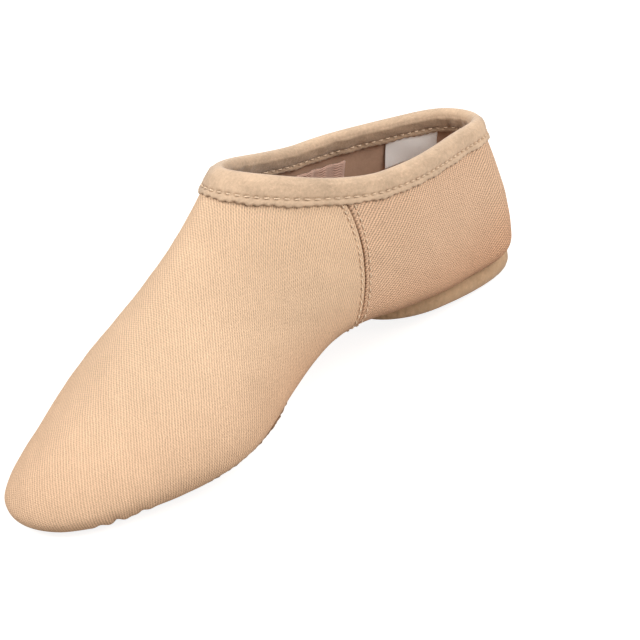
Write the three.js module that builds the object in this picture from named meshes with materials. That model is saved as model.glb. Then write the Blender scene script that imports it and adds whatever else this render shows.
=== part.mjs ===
// Split-sole ballet slipper, adult women's size, one foot, standing curled at the arch.
//
// Row frame: millimetres, +X towards the toe, +Y to the wearer's left, +Z up, the floor at z = 0.
// The shell is drawn on a straight last, with x = 0 at the back of the heel, and then curled at
// the arch and pitched forward, so that it stands on the underside of the toe and the heel pad.
//
// A place on the shell is (tau, v): tau runs round the last from the back of the heel (0) to the
// tip of the toe (1), and v runs up it from the middle of the sole (0) over the widest line (1)
// to the ridge along the top (2). The left and the right side are mirror images.

import * as THREE from 'three';
import { mergeVertices } from 'three/addons/utils/BufferGeometryUtils.js';

// ---- driving dimensions ------------------------------------------------------------------------

// Stations of the last from heel to toe: outline point (outX, outY), foot of its profile on the
// centre line (midX), and the heights of the widest line, of the sole and of the ridge.
const STATIONS = [
  { outX: -1, outY: 0, midX: 34, wide: 18, sole: 6.5, ridge: 94 },
  { outX: 5, outY: 20, midX: 36, wide: 17, sole: 6.5, ridge: 93 },
  { outX: 30, outY: 23.5, midX: 42, wide: 17, sole: 6.5, ridge: 96 },
  { outX: 66, outY: 33, midX: 68, wide: 20, sole: 7.5, ridge: 111 },
  { outX: 100, outY: 30.5, midX: 100, wide: 22, sole: 10, ridge: 99 },
  { outX: 134, outY: 31, midX: 134, wide: 16, sole: 6, ridge: 70 },
  { outX: 170, outY: 50, midX: 166, wide: 12, sole: 2.5, ridge: 49 },
  { outX: 207, outY: 33.5, midX: 190, wide: 10.5, sole: 3, ridge: 36 },
  { outX: 234, outY: 20, midX: 203, wide: 12.5, sole: 4, ridge: 31 },
  { outX: 242, outY: 0, midX: 207, wide: 14, sole: 5, ridge: 30 },
];
const SOLE_FLATNESS = 0.87;      // share of the half width over which the sole stays flat
const LOWER_HANDLE = 0.62;       // how upright the wall is just below the widest line
const UPPER_HANDLE = 0.34;       // and just above it
const RIDGE_HANDLE = 0.36;       // how broad the top is

// Heights of the topline, one for each RIM_STEP along the last.
const RIM_START = -25;
const RIM_STEP = 25;
const RIM_HEIGHTS = [65, 65, 67, 66, 66, 66, 89, 105];

const SEAM = { x: 96, z: 30, slope: -0.22, bow: 0.007 };   // side seam, x as a function of height

const ARCH = { x: 105, z: 12, curl: 15.5, blend: 50 };     // bend of the shell at the arch
const PITCH = 8.72;                                        // nose-down tilt of the whole slipper
const ORIGIN = { x: 118.22, z: 12.65 };                     // centre of the base, on the curled last

const CANVAS = [0, -1];                    // outer and inner face, measured outwards in mm
const LINING = [-1.35, -1.95];
const PADDING = [-2.4, -4.6];
const SOCK = [-5, -5.8];
const BAND = [-2.4, -3.2];
const LABEL = [-2.4, -3];
const PATCH = { face: 1.9, back: 0.4, channel: 0.8, channelHalf: 0.6, rows: [6.2, 3] };
const BINDING = { width: 9.5, outer: [1.25, 0.35], inner: [-2.6, -3.5], roll: 1.7 };
const CLOTH_DROP = 2.4;                    // the canvas ends this far below the topline
const BAND_DROP = 12.5;
const SEAM_DROP = 13;                      // and the rows of stitches along the side seams
const SEAM_GAP = 0.15;                     // half the gap between the two canvas pieces
const THREAD = 0.4;                        // radius of a row of stitches
const THREAD_LIFT = 0.75;                  // height of its middle above the cloth
const THREAD_ENDS = { front: [108.5, 129], rear: [77.5, 97.5] };   // under the arch, along the last
const SUNK_THREAD = 0.3;                   // radius of the rows in the patch's channels
const ROW_OFFSET = 1.8;                    // from a seam to its rows of stitches

const HEEL_PAD = { back: -3, front: 74.5, widest: 48, half: 18, power: 2.1, top: 8, skin: 1.2 };
const HEEL_PAD_MIDDLE = (HEEL_PAD.back + HEEL_PAD.front) / 2;
const HEEL_PAD_GAP = 0.45;                 // between its top and the canvas
const HEEL_PAD_ROUNDING = 1.2;             // of its lower edge
const FOREFOOT = { x: 166.5, length: 38.5, half: 38, power: 2.3, notch: 5, notchAngle: 0.24 };
const BALL_PAD = { back: 132, front: 208, half: 31, widest: 172, power: 2.2 };
const HEEL_SEAT = { back: 12, front: 53, half: 16, widest: 34, power: 2.2 };
const ELASTIC = { start: -42, width: 24 };  // from the side seam, towards the toe
const TAG = { back: 19, front: 41, depths: [9.9, 16, 21.5] };   // along the last, below the topline

// ---- the last ----------------------------------------------------------------------------------

const LAST_STATION = STATIONS.length - 1;

function cubicWeights(f) {
  const g = 1 - f;
  return [g ** 3 / 6, (3 * f ** 3 - 6 * f * f + 4) / 6, (3 * g ** 3 - 6 * g * g + 4) / 6, f ** 3 / 6];
}

// A value of the station table at tau, on a uniform cubic B-spline mirrored at both ends.
function stationValue(key, tau) {
  const t = THREE.MathUtils.clamp(tau, 0, 1) * LAST_STATION;
  const i = Math.min(Math.floor(t), LAST_STATION - 1);
  const weights = cubicWeights(t - i);
  let sum = 0;
  for (let k = 0; k < 4; k++) {
    let n = i - 1 + k;
    let sign = 1;
    if (n < 0 || n > LAST_STATION) {
      n = n < 0 ? 1 : LAST_STATION - 1;
      sign = key === 'outY' ? -1 : 1;
    }
    sum += weights[k] * sign * STATIONS[n][key];
  }
  return sum;
}

function bezier(a, b, c, d, t) {
  const s = 1 - t;
  return s ** 3 * a + 3 * s * s * t * b + 3 * s * t * t * c + t ** 3 * d;
}

// Slope of the sole or of the ridge along the centre line.
function spineSlope(key, tau) {
  const at = THREE.MathUtils.clamp(tau, 0.02, 0.98);
  const step = 1e-3;
  return (stationValue(key, at + step) - stationValue(key, at - step)) /
    (stationValue('midX', at + step) - stationValue('midX', at - step));
}

// Point of the outer face: a profile of two cubic curves in the upright plane through the
// station's foot and its outline point. Beyond the ridge and the ends it goes on mirrored.
function shellPoint(tau, v) {
  if (v > 2) return mirrored(shellPoint(tau, 4 - v));
  if (tau < 0) return mirrored(shellPoint(-tau, v));
  if (tau > 1) return mirrored(shellPoint(2 - tau, v));
  const midX = stationValue('midX', tau);
  const wide = stationValue('wide', tau);
  const sole = stationValue('sole', tau);
  const ridge = stationValue('ridge', tau);
  const dx = stationValue('outX', tau) - midX;
  const dy = Math.max(stationValue('outY', tau), 0);
  const reach = Math.hypot(dx, dy);
  const along = dx / reach;
  let r;
  let z;
  if (v <= 1) {
    const flat = SOLE_FLATNESS * reach;
    r = bezier(0, flat, reach, reach, v);
    const rise = spineSlope('sole', tau) * along * flat;
    z = bezier(sole, sole + rise, wide - LOWER_HANDLE * (wide - sole), wide, v);
  } else {
    const broad = RIDGE_HANDLE * reach;
    r = bezier(reach, reach, broad, 0, v - 1);
    const rise = spineSlope('ridge', tau) * along * broad;
    z = bezier(wide, wide + UPPER_HANDLE * (ridge - wide), ridge + rise, ridge, v - 1);
  }
  return new THREE.Vector3(midX + r * along, (r * dy) / reach, z);
}

function mirrored(p) {
  return new THREE.Vector3(p.x, -p.y, p.z);
}

// Outward normal of the outer face; on the middle plane it stays in that plane.
function shellNormal(tau, v) {
  const step = 1e-3;
  const vAt = Math.max(v, step);
  const dTau = shellPoint(tau + step, vAt).sub(shellPoint(tau - step, vAt));
  const dV = shellPoint(tau, vAt + step).sub(shellPoint(tau, vAt - step));
  const normal = dV.cross(dTau);
  if (Math.abs(shellPoint(tau, v).y) < 1e-6) normal.y = 0;
  return normal.normalize();
}

function offsetPoint(tau, v, height) {
  return shellPoint(tau, v).addScaledVector(shellNormal(tau, v), height);
}

function bisect(low, high, isBelow) {
  let a = low;
  let b = high;
  for (let n = 0; n < 40; n++) {
    const m = (a + b) / 2;
    if (isBelow(m)) a = m;
    else b = m;
  }
  return (a + b) / 2;
}

// ---- topline and seam --------------------------------------------------------------------------

function rimHeight(x) {
  const t = THREE.MathUtils.clamp((x - RIM_START) / RIM_STEP, 1, RIM_HEIGHTS.length - 2 - 1e-9);
  const i = Math.floor(t);
  return cubicWeights(t - i).reduce((sum, w, k) => sum + w * RIM_HEIGHTS[i - 1 + k], 0);
}

// tau of the throat, where a line a given drop below the topline meets the ridge.
function throatTau(drop) {
  return bisect(0.35, 0.75, (tau) => shellPoint(tau, 2).z > rimHeight(shellPoint(tau, 2).x) - drop);
}

// v at which the profile meets that line.
function rimV(tau, drop) {
  if (tau >= throatTau(drop)) return 2;
  return bisect(1, 2, (v) => {
    const p = shellPoint(tau, v);
    return p.z < rimHeight(p.x) - drop;
  });
}

function seamTau(v) {
  return bisect(0.3, 0.6, (tau) => {
    const p = shellPoint(tau, v);
    const dz = p.z - SEAM.z;
    return p.x < SEAM.x + SEAM.slope * dz + SEAM.bow * dz * dz;
  });
}

const TAU_PER_MM = 1 / (LAST_STATION * 34);   // near the seam, where the stations are 34 mm apart

// ---- standing pose -----------------------------------------------------------------------------

function turned(x, z, aboutX, aboutZ, degrees) {
  const a = THREE.MathUtils.degToRad(degrees);
  const dx = x - aboutX;
  const dz = z - aboutZ;
  return [aboutX + dx * Math.cos(a) - dz * Math.sin(a), aboutZ + dx * Math.sin(a) + dz * Math.cos(a)];
}

// From the straight last to the row frame: curl the heel down, tip the whole forward, and put it
// on the floor.
function stand(p) {
  const share = THREE.MathUtils.smoothstep(ARCH.x + ARCH.blend / 2 - p.x, 0, ARCH.blend);
  const [cx, cz] = turned(p.x, p.z, ARCH.x, ARCH.z, ARCH.curl * share);
  const [x, z] = turned(cx, cz, ARCH.x, ARCH.z, -PITCH);
  return new THREE.Vector3(x - ORIGIN.x, p.y, z + ORIGIN.z);
}

// ---- building closed bodies --------------------------------------------------------------------

const TINY = 1e-5;

function newSkin() {
  const corners = [];
  const triangle = (a, b, c) => {
    if (a.distanceTo(b) < TINY || b.distanceTo(c) < TINY || c.distanceTo(a) < TINY) return;
    for (const p of [a, b, c]) corners.push(...stand(p).toArray());
  };
  const quad = (a, b, c, d) => {
    triangle(a, b, c);
    triangle(a, c, d);
  };
  return { corners, triangle, quad };
}

function finished(skin) {
  const geometry = new THREE.BufferGeometry();
  geometry.setAttribute('position', new THREE.Float32BufferAttribute(skin.corners, 3));
  const merged = mergeVertices(geometry, 1e-3);
  merged.computeVertexNormals();
  return merged;
}

function onMiddle(p) {
  return Math.abs(p.y) < TINY;
}

// A body between an outer and an inner grid of the left side, joined to its mirror image along
// the middle plane. grid[i][j] has i along tau and j up v.
function mirroredShell(outer, inner) {
  const skin = newSkin();
  const both = (a, b, c, d) => {
    skin.quad(a, b, c, d);
    skin.quad(mirrored(d), mirrored(c), mirrored(b), mirrored(a));
  };
  const columns = outer.length;
  const rows = outer[0].length;
  for (let i = 0; i + 1 < columns; i++) {
    for (let j = 0; j + 1 < rows; j++) {
      both(outer[i][j], outer[i][j + 1], outer[i + 1][j + 1], outer[i + 1][j]);
      both(inner[i][j], inner[i + 1][j], inner[i + 1][j + 1], inner[i][j + 1]);
    }
  }
  const edge = (a, b, innerA, innerB) => {
    if (!(onMiddle(a) && onMiddle(b))) both(a, b, innerB, innerA);
  };
  for (let i = 0; i + 1 < columns; i++) {
    edge(outer[i + 1][rows - 1], outer[i][rows - 1], inner[i + 1][rows - 1], inner[i][rows - 1]);
    edge(outer[i][0], outer[i + 1][0], inner[i][0], inner[i + 1][0]);
  }
  for (let j = 0; j + 1 < rows; j++) {
    edge(outer[0][j + 1], outer[0][j], inner[0][j + 1], inner[0][j]);
    edge(outer.at(-1)[j], outer.at(-1)[j + 1], inner.at(-1)[j], inner.at(-1)[j + 1]);
  }
  return finished(skin);
}

// A closed ring: each section is a closed list of points, and the last section meets the first.
function ring(sections) {
  const skin = newSkin();
  sections.forEach((section, i) => {
    const next = sections[(i + 1) % sections.length];
    section.forEach((p, k) => {
      const m = (k + 1) % section.length;
      skin.quad(p, section[m], next[m], next[k]);
    });
  });
  return finished(skin);
}

// A round disc-like body about a middle point: rings[k][j] from the middle of the top face over
// the edge to the middle of the bottom face.
function disc(top, rings, bottom) {
  const skin = newSkin();
  const count = rings[0].length;
  for (let j = 0; j < count; j++) {
    const m = (j + 1) % count;
    skin.triangle(top, rings[0][j], rings[0][m]);
    for (let k = 0; k + 1 < rings.length; k++) {
      skin.quad(rings[k][j], rings[k + 1][j], rings[k + 1][m], rings[k][m]);
    }
    skin.triangle(bottom, rings[rings.length - 1][m], rings[rings.length - 1][j]);
  }
  return finished(skin);
}

// A slab over a small grid, from its outer to its inner face.
function slab(outer, inner) {
  const skin = newSkin();
  const columns = outer.length;
  const rows = outer[0].length;
  for (let i = 0; i + 1 < columns; i++) {
    for (let j = 0; j + 1 < rows; j++) {
      skin.quad(outer[i][j], outer[i][j + 1], outer[i + 1][j + 1], outer[i + 1][j]);
      skin.quad(inner[i][j], inner[i + 1][j], inner[i + 1][j + 1], inner[i][j + 1]);
    }
    skin.quad(outer[i][0], outer[i + 1][0], inner[i + 1][0], inner[i][0]);
    skin.quad(outer[i + 1][rows - 1], outer[i][rows - 1], inner[i][rows - 1], inner[i + 1][rows - 1]);
  }
  for (let j = 0; j + 1 < rows; j++) {
    skin.quad(outer[0][j + 1], outer[0][j], inner[0][j], inner[0][j + 1]);
    skin.quad(outer.at(-1)[j], outer.at(-1)[j + 1], inner.at(-1)[j + 1], inner.at(-1)[j]);
  }
  return finished(skin);
}

// A row of stitches as one thin cord along points that each carry the cloth's normal.
function threadSections(points, radius, closed) {
  const sides = 4;
  const count = points.length;
  return points.map(({ at, normal }, i) => {
    const next = points[closed ? (i + 1) % count : Math.min(i + 1, count - 1)].at;
    const last = points[closed ? (i + count - 1) % count : Math.max(i - 1, 0)].at;
    const forward = next.clone().sub(last).normalize();
    const side = forward.clone().cross(normal).normalize();
    const up = side.clone().cross(forward);
    const section = [];
    for (let k = 0; k < sides; k++) {
      const a = (2 * Math.PI * k) / sides;
      const across = at.clone().addScaledVector(side, radius * Math.cos(a));
      section.push(across.addScaledVector(up, radius * Math.sin(a)));
    }
    return section;
  });
}

function loopedThread(points, radius) {
  return ring(threadSections(points, radius, true).map((section) => section.reverse()));
}

function openThread(points) {
  const sections = threadSections(points, THREAD, false);
  return disc(points[0].at, sections, points[points.length - 1].at);
}

function threadPoint(tau, v, height) {
  return { at: offsetPoint(tau, v, height), normal: shellNormal(tau, v) };
}

function mirroredThreadPoint({ at, normal }) {
  return { at: mirrored(at), normal: mirrored(normal) };
}

// ---- canvas and lining -------------------------------------------------------------------------

const LOWER_ROWS = [0, 0.3, 0.55, 0.75, 0.9, 1];
const UPPER_ROWS = [0.13, 0.27, 0.42, 0.58, 0.75, 0.88, 1];
const CLOTH_ROWS = [...LOWER_ROWS, ...UPPER_ROWS.map((share) => 1 + share)];
const THROAT_COLUMNS = 6;
const TOE_COLUMNS = 15;
const QUARTER_COLUMNS = 11;

function onRow(row, tau, drop) {
  return row <= 1 ? row : 1 + (row - 1) * (rimV(tau, drop) - 1);
}

// The columns between the seam and the toe. They crowd behind the throat, where the topline turns.
function vampGrid(height) {
  const throat = throatTau(CLOTH_DROP);
  const grid = [];
  for (let i = 0; i <= THROAT_COLUMNS + TOE_COLUMNS; i++) {
    grid.push(CLOTH_ROWS.map((row) => {
      const start = seamTau(onRow(row, seamTau(1), CLOTH_DROP)) + SEAM_GAP * TAU_PER_MM;
      const back = 1 - i / THROAT_COLUMNS;
      const tau = i <= THROAT_COLUMNS
        ? start + (throat - start) * (1 - back * back)
        : throat + ((1 - throat) * (i - THROAT_COLUMNS)) / TOE_COLUMNS;
      return offsetPoint(tau, onRow(row, tau, CLOTH_DROP), height);
    }));
  }
  return grid;
}

// The columns between the back of the heel and the seam.
function quarterGrid(height) {
  const grid = [];
  for (let i = 0; i <= QUARTER_COLUMNS; i++) {
    grid.push(CLOTH_ROWS.map((row) => {
      const end = seamTau(onRow(row, seamTau(1), CLOTH_DROP)) - SEAM_GAP * TAU_PER_MM;
      const tau = (end * i) / QUARTER_COLUMNS;
      return offsetPoint(tau, onRow(row, tau, CLOTH_DROP), height);
    }));
  }
  return grid;
}

function vamp([outer, inner]) {
  return mirroredShell(vampGrid(outer), vampGrid(inner));
}

function quarter([outer, inner]) {
  return mirroredShell(quarterGrid(outer), quarterGrid(inner));
}

// The ribbed elastic inside, from one side under the heel's front to the other.
function archBand([outer, inner]) {
  const columns = 5;
  const grid = (height) => {
    const list = [];
    for (let i = 0; i <= columns; i++) {
      const tau = seamTau(1) + TAU_PER_MM * (ELASTIC.start + (ELASTIC.width * i) / columns);
      list.push(CLOTH_ROWS.map((row) => offsetPoint(tau, onRow(row, tau, BAND_DROP), height)));
    }
    return list;
  };
  return mirroredShell(grid(outer), grid(inner));
}

// ---- binding round the opening -----------------------------------------------------------------

const RIM_STATIONS = 30;         // on each side

// The place on the shell nearest to a point, found from a near guess.
function settled(p, tauGuess, vGuess) {
  let tau = tauGuess;
  let v = vGuess;
  const step = 1e-4;
  for (let n = 0; n < 5; n++) {
    const at = shellPoint(tau, v);
    const a = shellPoint(tau + step, v).sub(at).divideScalar(step);
    const b = shellPoint(tau, v + step).sub(at).divideScalar(step);
    const miss = p.clone().sub(at);
    const aa = a.dot(a);
    const ab = a.dot(b);
    const bb = b.dot(b);
    const det = aa * bb - ab * ab;
    tau += (bb * a.dot(miss) - ab * b.dot(miss)) / det;
    v += (aa * b.dot(miss) - ab * a.dot(miss)) / det;
  }
  return [tau, v];
}

// Left half of the topline from the heel to the throat: the place, and the way down the cloth.
function rimStations() {
  const throat = throatTau(0);
  const places = [];
  for (let i = 0; i <= RIM_STATIONS; i++) {
    const tau = throat * Math.sin((Math.PI / 2) * (i / RIM_STATIONS));
    places.push({ tau, v: rimV(tau, 0) });
  }
  const points = places.map(({ tau, v }) => shellPoint(tau, v));
  return places.map(({ tau, v }, i) => {
    const before = i > 0 ? points[i - 1] : mirrored(points[1]);
    const after = i < RIM_STATIONS ? points[i + 1] : mirrored(points[i - 1]);
    const forward = after.clone().sub(before).normalize();
    const down = shellNormal(tau, v).cross(forward).normalize();
    return { tau, v, at: points[i], down };
  });
}

// Point s mm down the cloth from the topline at a station, h mm out from it.
function belowRim(station, s, h) {
  const aim = station.at.clone().addScaledVector(station.down, s);
  const [tau, v] = settled(aim, station.tau, station.v);
  const at = shellPoint(tau, v);
  const normal = shellNormal(tau, v);
  if (onMiddle(station.at)) {
    at.y = 0;
    normal.y = 0;
  }
  return { at: at.addScaledVector(normal.normalize(), h), normal };
}

// One closed section of the folded binding at a station: down outside, over the roll, down inside.
function bindingSection(station) {
  const { width, roll } = BINDING;
  const [outerFace, outerBack] = BINDING.outer;
  const [innerBack, innerFace] = BINDING.inner;
  const middle = (outerFace + innerFace) / 2;
  const shape = [
    [width, outerBack], [width, outerFace], [2.4, outerFace], [0.8, 0.5], [0, middle], [0.8, innerFace + 0.7],
    [2.4, innerFace], [width, innerFace], [width, innerBack], [roll, innerBack], [roll, outerBack],
  ];
  return shape.map(([s, h]) => belowRim(station, s, h).at);
}

function roundTheRim(leftSide, mirror) {
  const right = leftSide.slice(1, -1).reverse().map(mirror);
  return [...leftSide, ...right];
}

function toplineBinding() {
  const left = rimStations().map(bindingSection);
  return ring(roundTheRim(left, (section) => section.map(mirrored)));
}

function bindingThread(height) {
  const left = rimStations().map((station) => belowRim(station, 0.76 * BINDING.width, height));
  return loopedThread(roundTheRim(left, mirroredThreadPoint), THREAD);
}

// The size label hangs inside the right wall, just under the binding.
function sizeLabel([outer, inner]) {
  const stations = rimStations().filter(({ at }) => at.x > TAG.back && at.x < TAG.front);
  const face = (h) => stations.map((station) => TAG.depths.map((s) => mirrored(belowRim(station, s, h).at)));
  return slab(face(outer), face(inner));
}

// ---- pieces under the foot, placed by their plan -----------------------------------------------

const PATCH_SIDES = 40;
const PAD_SIDES = 32;
const INSIDE_PAD_SIDES = 24;

// The place on the underside of the shell below or above a plan point.
function underside(x, y) {
  const side = Math.max(Math.abs(y), 0.01);
  const tau = bisect(0, 1, (t) => {
    const midX = stationValue('midX', t);
    const fromSpine = (x - midX) * Math.max(stationValue('outY', t), 0);
    return fromSpine - side * (stationValue('outX', t) - midX) > 0;
  });
  const reach = Math.hypot(x - stationValue('midX', tau), side);
  const v = bisect(0, 1, (w) => {
    const p = shellPoint(tau, w);
    return Math.hypot(p.x - stationValue('midX', tau), p.y) < reach;
  });
  return [tau, v];
}

function undersidePoint(x, y, height) {
  const [tau, v] = underside(x, y);
  const normal = shellNormal(tau, v);
  const at = shellPoint(tau, v).addScaledVector(normal, height);
  const sign = y < 0 ? -1 : 1;
  at.y *= sign;
  normal.y *= sign;
  if (Math.abs(y) < 1e-6) at.y = 0;
  return { at, normal };
}

// A quarter-by-quarter superellipse from the back to the front of a pad.
function padOutline({ back, front, widest, half, power }, angle, inset) {
  const c = Math.cos(angle);
  const s = Math.sin(angle);
  const length = (c > 0 ? front - widest : widest - back) - inset;
  const x = Math.sign(c) * Math.abs(c) ** (2 / power) * length;
  const y = Math.sign(s) * Math.abs(s) ** (2 / power) * (half - inset);
  return [widest + x, y];
}

// The forefoot patch: a broad superellipse with a notch at the back.
function patchOutline(angle, inset) {
  const { x, length, half, power, notch, notchAngle } = FOREFOOT;
  const c = Math.abs(Math.cos(angle)) / (length - inset);
  const s = Math.abs(Math.sin(angle)) / (half - inset);
  const turn = (Math.abs(angle) - Math.PI) / notchAngle;
  const radius = (c ** power + s ** power) ** (-1 / power) - notch * Math.exp(-turn * turn);
  return [x + radius * Math.cos(angle), radius * Math.sin(angle)];
}

function angles(count) {
  return Array.from({ length: count }, (_, j) => (2 * Math.PI * j) / count - Math.PI);
}

// A pad that follows the sole between two heights, with an outline in plan about a centre.
function followingPad(outline, centreX, [low, high], shares, count) {
  const ringAt = (share, height) => angles(count).map((angle) => {
    const [x, y] = outline(angle, 0);
    return undersidePoint(centreX + (x - centreX) * share, y * share, height).at;
  });
  const upper = shares.map((share) => ringAt(share, high));
  const lower = [...shares].reverse().map((share) => ringAt(share, low));
  const top = undersidePoint(centreX, 0, high).at;
  return disc(top, [...upper, ...lower], undersidePoint(centreX, 0, low).at);
}

function patchRing(inset, height) {
  return angles(PATCH_SIDES).map((angle) => {
    const [x, y] = patchOutline(angle, inset);
    return undersidePoint(x, y, height);
  });
}

// From its middle outwards over two stitch channels, round the edge, and back under it.
function forefootPatch() {
  const { face, back, channel, channelHalf, rows } = PATCH;
  const channelSteps = (row) => [
    [row + channelHalf + 0.1, face], [row + channelHalf, channel], [row - channelHalf, channel],
    [row - channelHalf - 0.1, face],
  ];
  const steps = [
    [26, face], [13, face], ...rows.flatMap(channelSteps), [0, face],
    [0, back], [5, back], [13, back], [26, back],
  ];
  const rings = steps.map(([inset, height]) => patchRing(inset, height).map(({ at }) => at).reverse());
  return disc(undersidePoint(FOREFOOT.x, 0, face).at, rings, undersidePoint(FOREFOOT.x, 0, back).at);
}

function patchThread(row) {
  return loopedThread(patchRing(row, PATCH.channel + 0.3 + SUNK_THREAD).reverse(), SUNK_THREAD);
}

function insidePad(pad, faces) {
  const outline = (angle) => padOutline(pad, angle, 0);
  return followingPad(outline, pad.widest, faces, [0.35, 0.7, 1], INSIDE_PAD_SIDES);
}

// Height of the heel pad's upper side at a plan point: under the canvas, or its own top edge.
function padTop(x, y) {
  const [tau, v] = underside(x, y);
  const canvas = v > 0.8 ? Infinity : shellPoint(tau, v).z;
  return Math.min(canvas - HEEL_PAD_GAP, HEEL_PAD.top);
}

// Plan rings of the heel pad about its own middle, inset from the outline, at a height or on top.
function padRing(inset, share, height) {
  return angles(PAD_SIDES).map((angle) => {
    const [x, y] = padOutline(HEEL_PAD, angle, inset);
    const px = HEEL_PAD_MIDDLE + (x - HEEL_PAD_MIDDLE) * share;
    const py = y * share;
    return new THREE.Vector3(px, py, height ?? padTop(px, py));
  });
}

// The suede cup of the heel: a flat base and an upright wall.
function heelCover() {
  const { skin, top } = HEEL_PAD;
  const rounding = HEEL_PAD_ROUNDING;
  const rings = [
    padRing(skin, 0.5, skin), padRing(skin, 1, skin), padRing(skin, 1), padRing(0.2, 1),
    padRing(0, 1, top - 2), padRing(0, 1, rounding), padRing(rounding - 0.2, 1, 0), padRing(1, 0.5, 0),
  ];
  const inside = new THREE.Vector3(HEEL_PAD_MIDDLE, 0, skin);
  return disc(inside, rings, new THREE.Vector3(HEEL_PAD_MIDDLE, 0, 0));
}

// The foam core inside it.
function heelLift() {
  const inset = HEEL_PAD.skin + 0.4;
  const base = HEEL_PAD.skin + 0.3;
  const rings = [
    padRing(inset, 0.4), padRing(inset, 0.75), padRing(inset, 1),
    padRing(inset, 1, base), padRing(inset, 0.5, base),
  ];
  const top = new THREE.Vector3(HEEL_PAD_MIDDLE, 0, padTop(HEEL_PAD_MIDDLE, 0));
  return disc(top, rings, new THREE.Vector3(HEEL_PAD_MIDDLE, 0, base));
}

// ---- rows of stitches on the seams -------------------------------------------------------------

// One row beside the side seam, from under the binding, under the arch and up the other side.
function seamThread(offset) {
  const rows = 16;
  const left = [];
  for (let j = 0; j <= rows; j++) {
    const share = 1 - j / rows;
    const tau0 = seamTau(1) + offset * TAU_PER_MM;
    const v = share * rimV(tau0, SEAM_DROP);
    left.push(threadPoint(seamTau(v) + offset * TAU_PER_MM, v, THREAD_LIFT));
  }
  left[rows].at.y = 0;
  const right = left.slice(0, -1).reverse().map(mirroredThreadPoint);
  return openThread([...left, ...right]);
}

// One row beside the seam under the arch, between two places on the centre line.
function centreThread([from, to], side) {
  const steps = 6;
  const points = [];
  for (let i = 0; i <= steps; i++) {
    points.push(undersidePoint(from + ((to - from) * i) / steps, side * ROW_OFFSET, THREAD_LIFT));
  }
  return openThread(points);
}

// ---- the slipper -------------------------------------------------------------------------------

const COLOURS = {
  canvas: { color: 0xdcb48f, roughness: 0.9, metalness: 0 },
  lining: { color: 0xc79f7c, roughness: 0.95, metalness: 0 },
  binding: { color: 0xb79a78, roughness: 0.95, metalness: 0 },
  suede: { color: 0x9b7558, roughness: 0.95, metalness: 0 },
  heelSuede: { color: 0xa8977b, roughness: 0.9, metalness: 0 },
  foam: { color: 0xd8d2c4, roughness: 1, metalness: 0 },
  elastic: { color: 0xc79a86, roughness: 0.8, metalness: 0 },
  label: { color: 0xf2f0ec, roughness: 0.7, metalness: 0 },
  thread: { color: 0xd9bfa0, roughness: 0.6, metalness: 0 },
};

const slipper = new THREE.Group();

function add(name, colour, geometry) {
  const mesh = new THREE.Mesh(geometry, new THREE.MeshStandardMaterial(COLOURS[colour]));
  mesh.name = name;
  slipper.add(mesh);
}

add('vamp_canvas', 'canvas', vamp(CANVAS));
add('quarter_canvas', 'canvas', quarter(CANVAS));
add('vamp_lining', 'lining', vamp(LINING));
add('quarter_lining', 'lining', quarter(LINING));
add('topline_binding', 'binding', toplineBinding());
add('forefoot_patch', 'suede', forefootPatch());
add('heel_cover', 'heelSuede', heelCover());
add('heel_lift', 'foam', heelLift());
add('forefoot_cushion', 'foam', insidePad(BALL_PAD, PADDING));
add('forefoot_sock', 'lining', insidePad(BALL_PAD, SOCK));
add('heel_cushion', 'foam', insidePad(HEEL_SEAT, PADDING));
add('heel_sock', 'lining', insidePad(HEEL_SEAT, SOCK));
add('arch_band', 'elastic', archBand(BAND));
add('size_label', 'label', sizeLabel(LABEL));
add('binding_thread_outer', 'thread', bindingThread(BINDING.outer[0] + THREAD_LIFT));
add('binding_thread_inner', 'thread', bindingThread(BINDING.inner[1] - THREAD_LIFT));
add('patch_thread_outer', 'thread', patchThread(PATCH.rows[1]));
add('patch_thread_inner', 'thread', patchThread(PATCH.rows[0]));
add('seam_thread_front', 'thread', seamThread(ROW_OFFSET));
add('seam_thread_rear', 'thread', seamThread(-ROW_OFFSET));
add('arch_thread_front_left', 'thread', centreThread(THREAD_ENDS.front, 1));
add('arch_thread_front_right', 'thread', centreThread(THREAD_ENDS.front, -1));
add('arch_thread_rear_left', 'thread', centreThread(THREAD_ENDS.rear, 1));
add('arch_thread_rear_right', 'thread', centreThread(THREAD_ENDS.rear, -1));

export default slipper;
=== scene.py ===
import math

import bpy
import numpy as np
from bpy.props import FloatProperty, FloatVectorProperty, PointerProperty
from mathutils import Matrix, Vector


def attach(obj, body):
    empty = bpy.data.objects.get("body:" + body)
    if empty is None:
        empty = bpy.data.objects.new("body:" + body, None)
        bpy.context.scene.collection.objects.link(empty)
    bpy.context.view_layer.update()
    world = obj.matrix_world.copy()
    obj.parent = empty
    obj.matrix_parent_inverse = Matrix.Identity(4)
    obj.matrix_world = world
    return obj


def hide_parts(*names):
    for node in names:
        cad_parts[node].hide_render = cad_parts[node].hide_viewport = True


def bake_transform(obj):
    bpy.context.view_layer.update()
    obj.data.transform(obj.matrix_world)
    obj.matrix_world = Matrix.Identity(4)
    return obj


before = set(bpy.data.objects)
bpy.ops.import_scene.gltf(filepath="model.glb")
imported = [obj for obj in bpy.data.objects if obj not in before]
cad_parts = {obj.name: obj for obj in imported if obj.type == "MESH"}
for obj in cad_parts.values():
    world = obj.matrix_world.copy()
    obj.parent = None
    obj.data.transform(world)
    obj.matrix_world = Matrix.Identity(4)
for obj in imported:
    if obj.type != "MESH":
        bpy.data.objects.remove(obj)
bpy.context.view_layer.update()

bl_info = {
    "name": "Ballet slipper",
    "version": (1, 0, 0),
    "blender": (4, 5, 0),
    "location": "View3D > Sidebar > Slipper",
    "description": "A split-sole canvas ballet slipper, piece by piece",
    "category": "Add Mesh",
}

# ---- the last and the pieces on it, in millimetres: the solid model's own driving dimensions -------------

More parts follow.
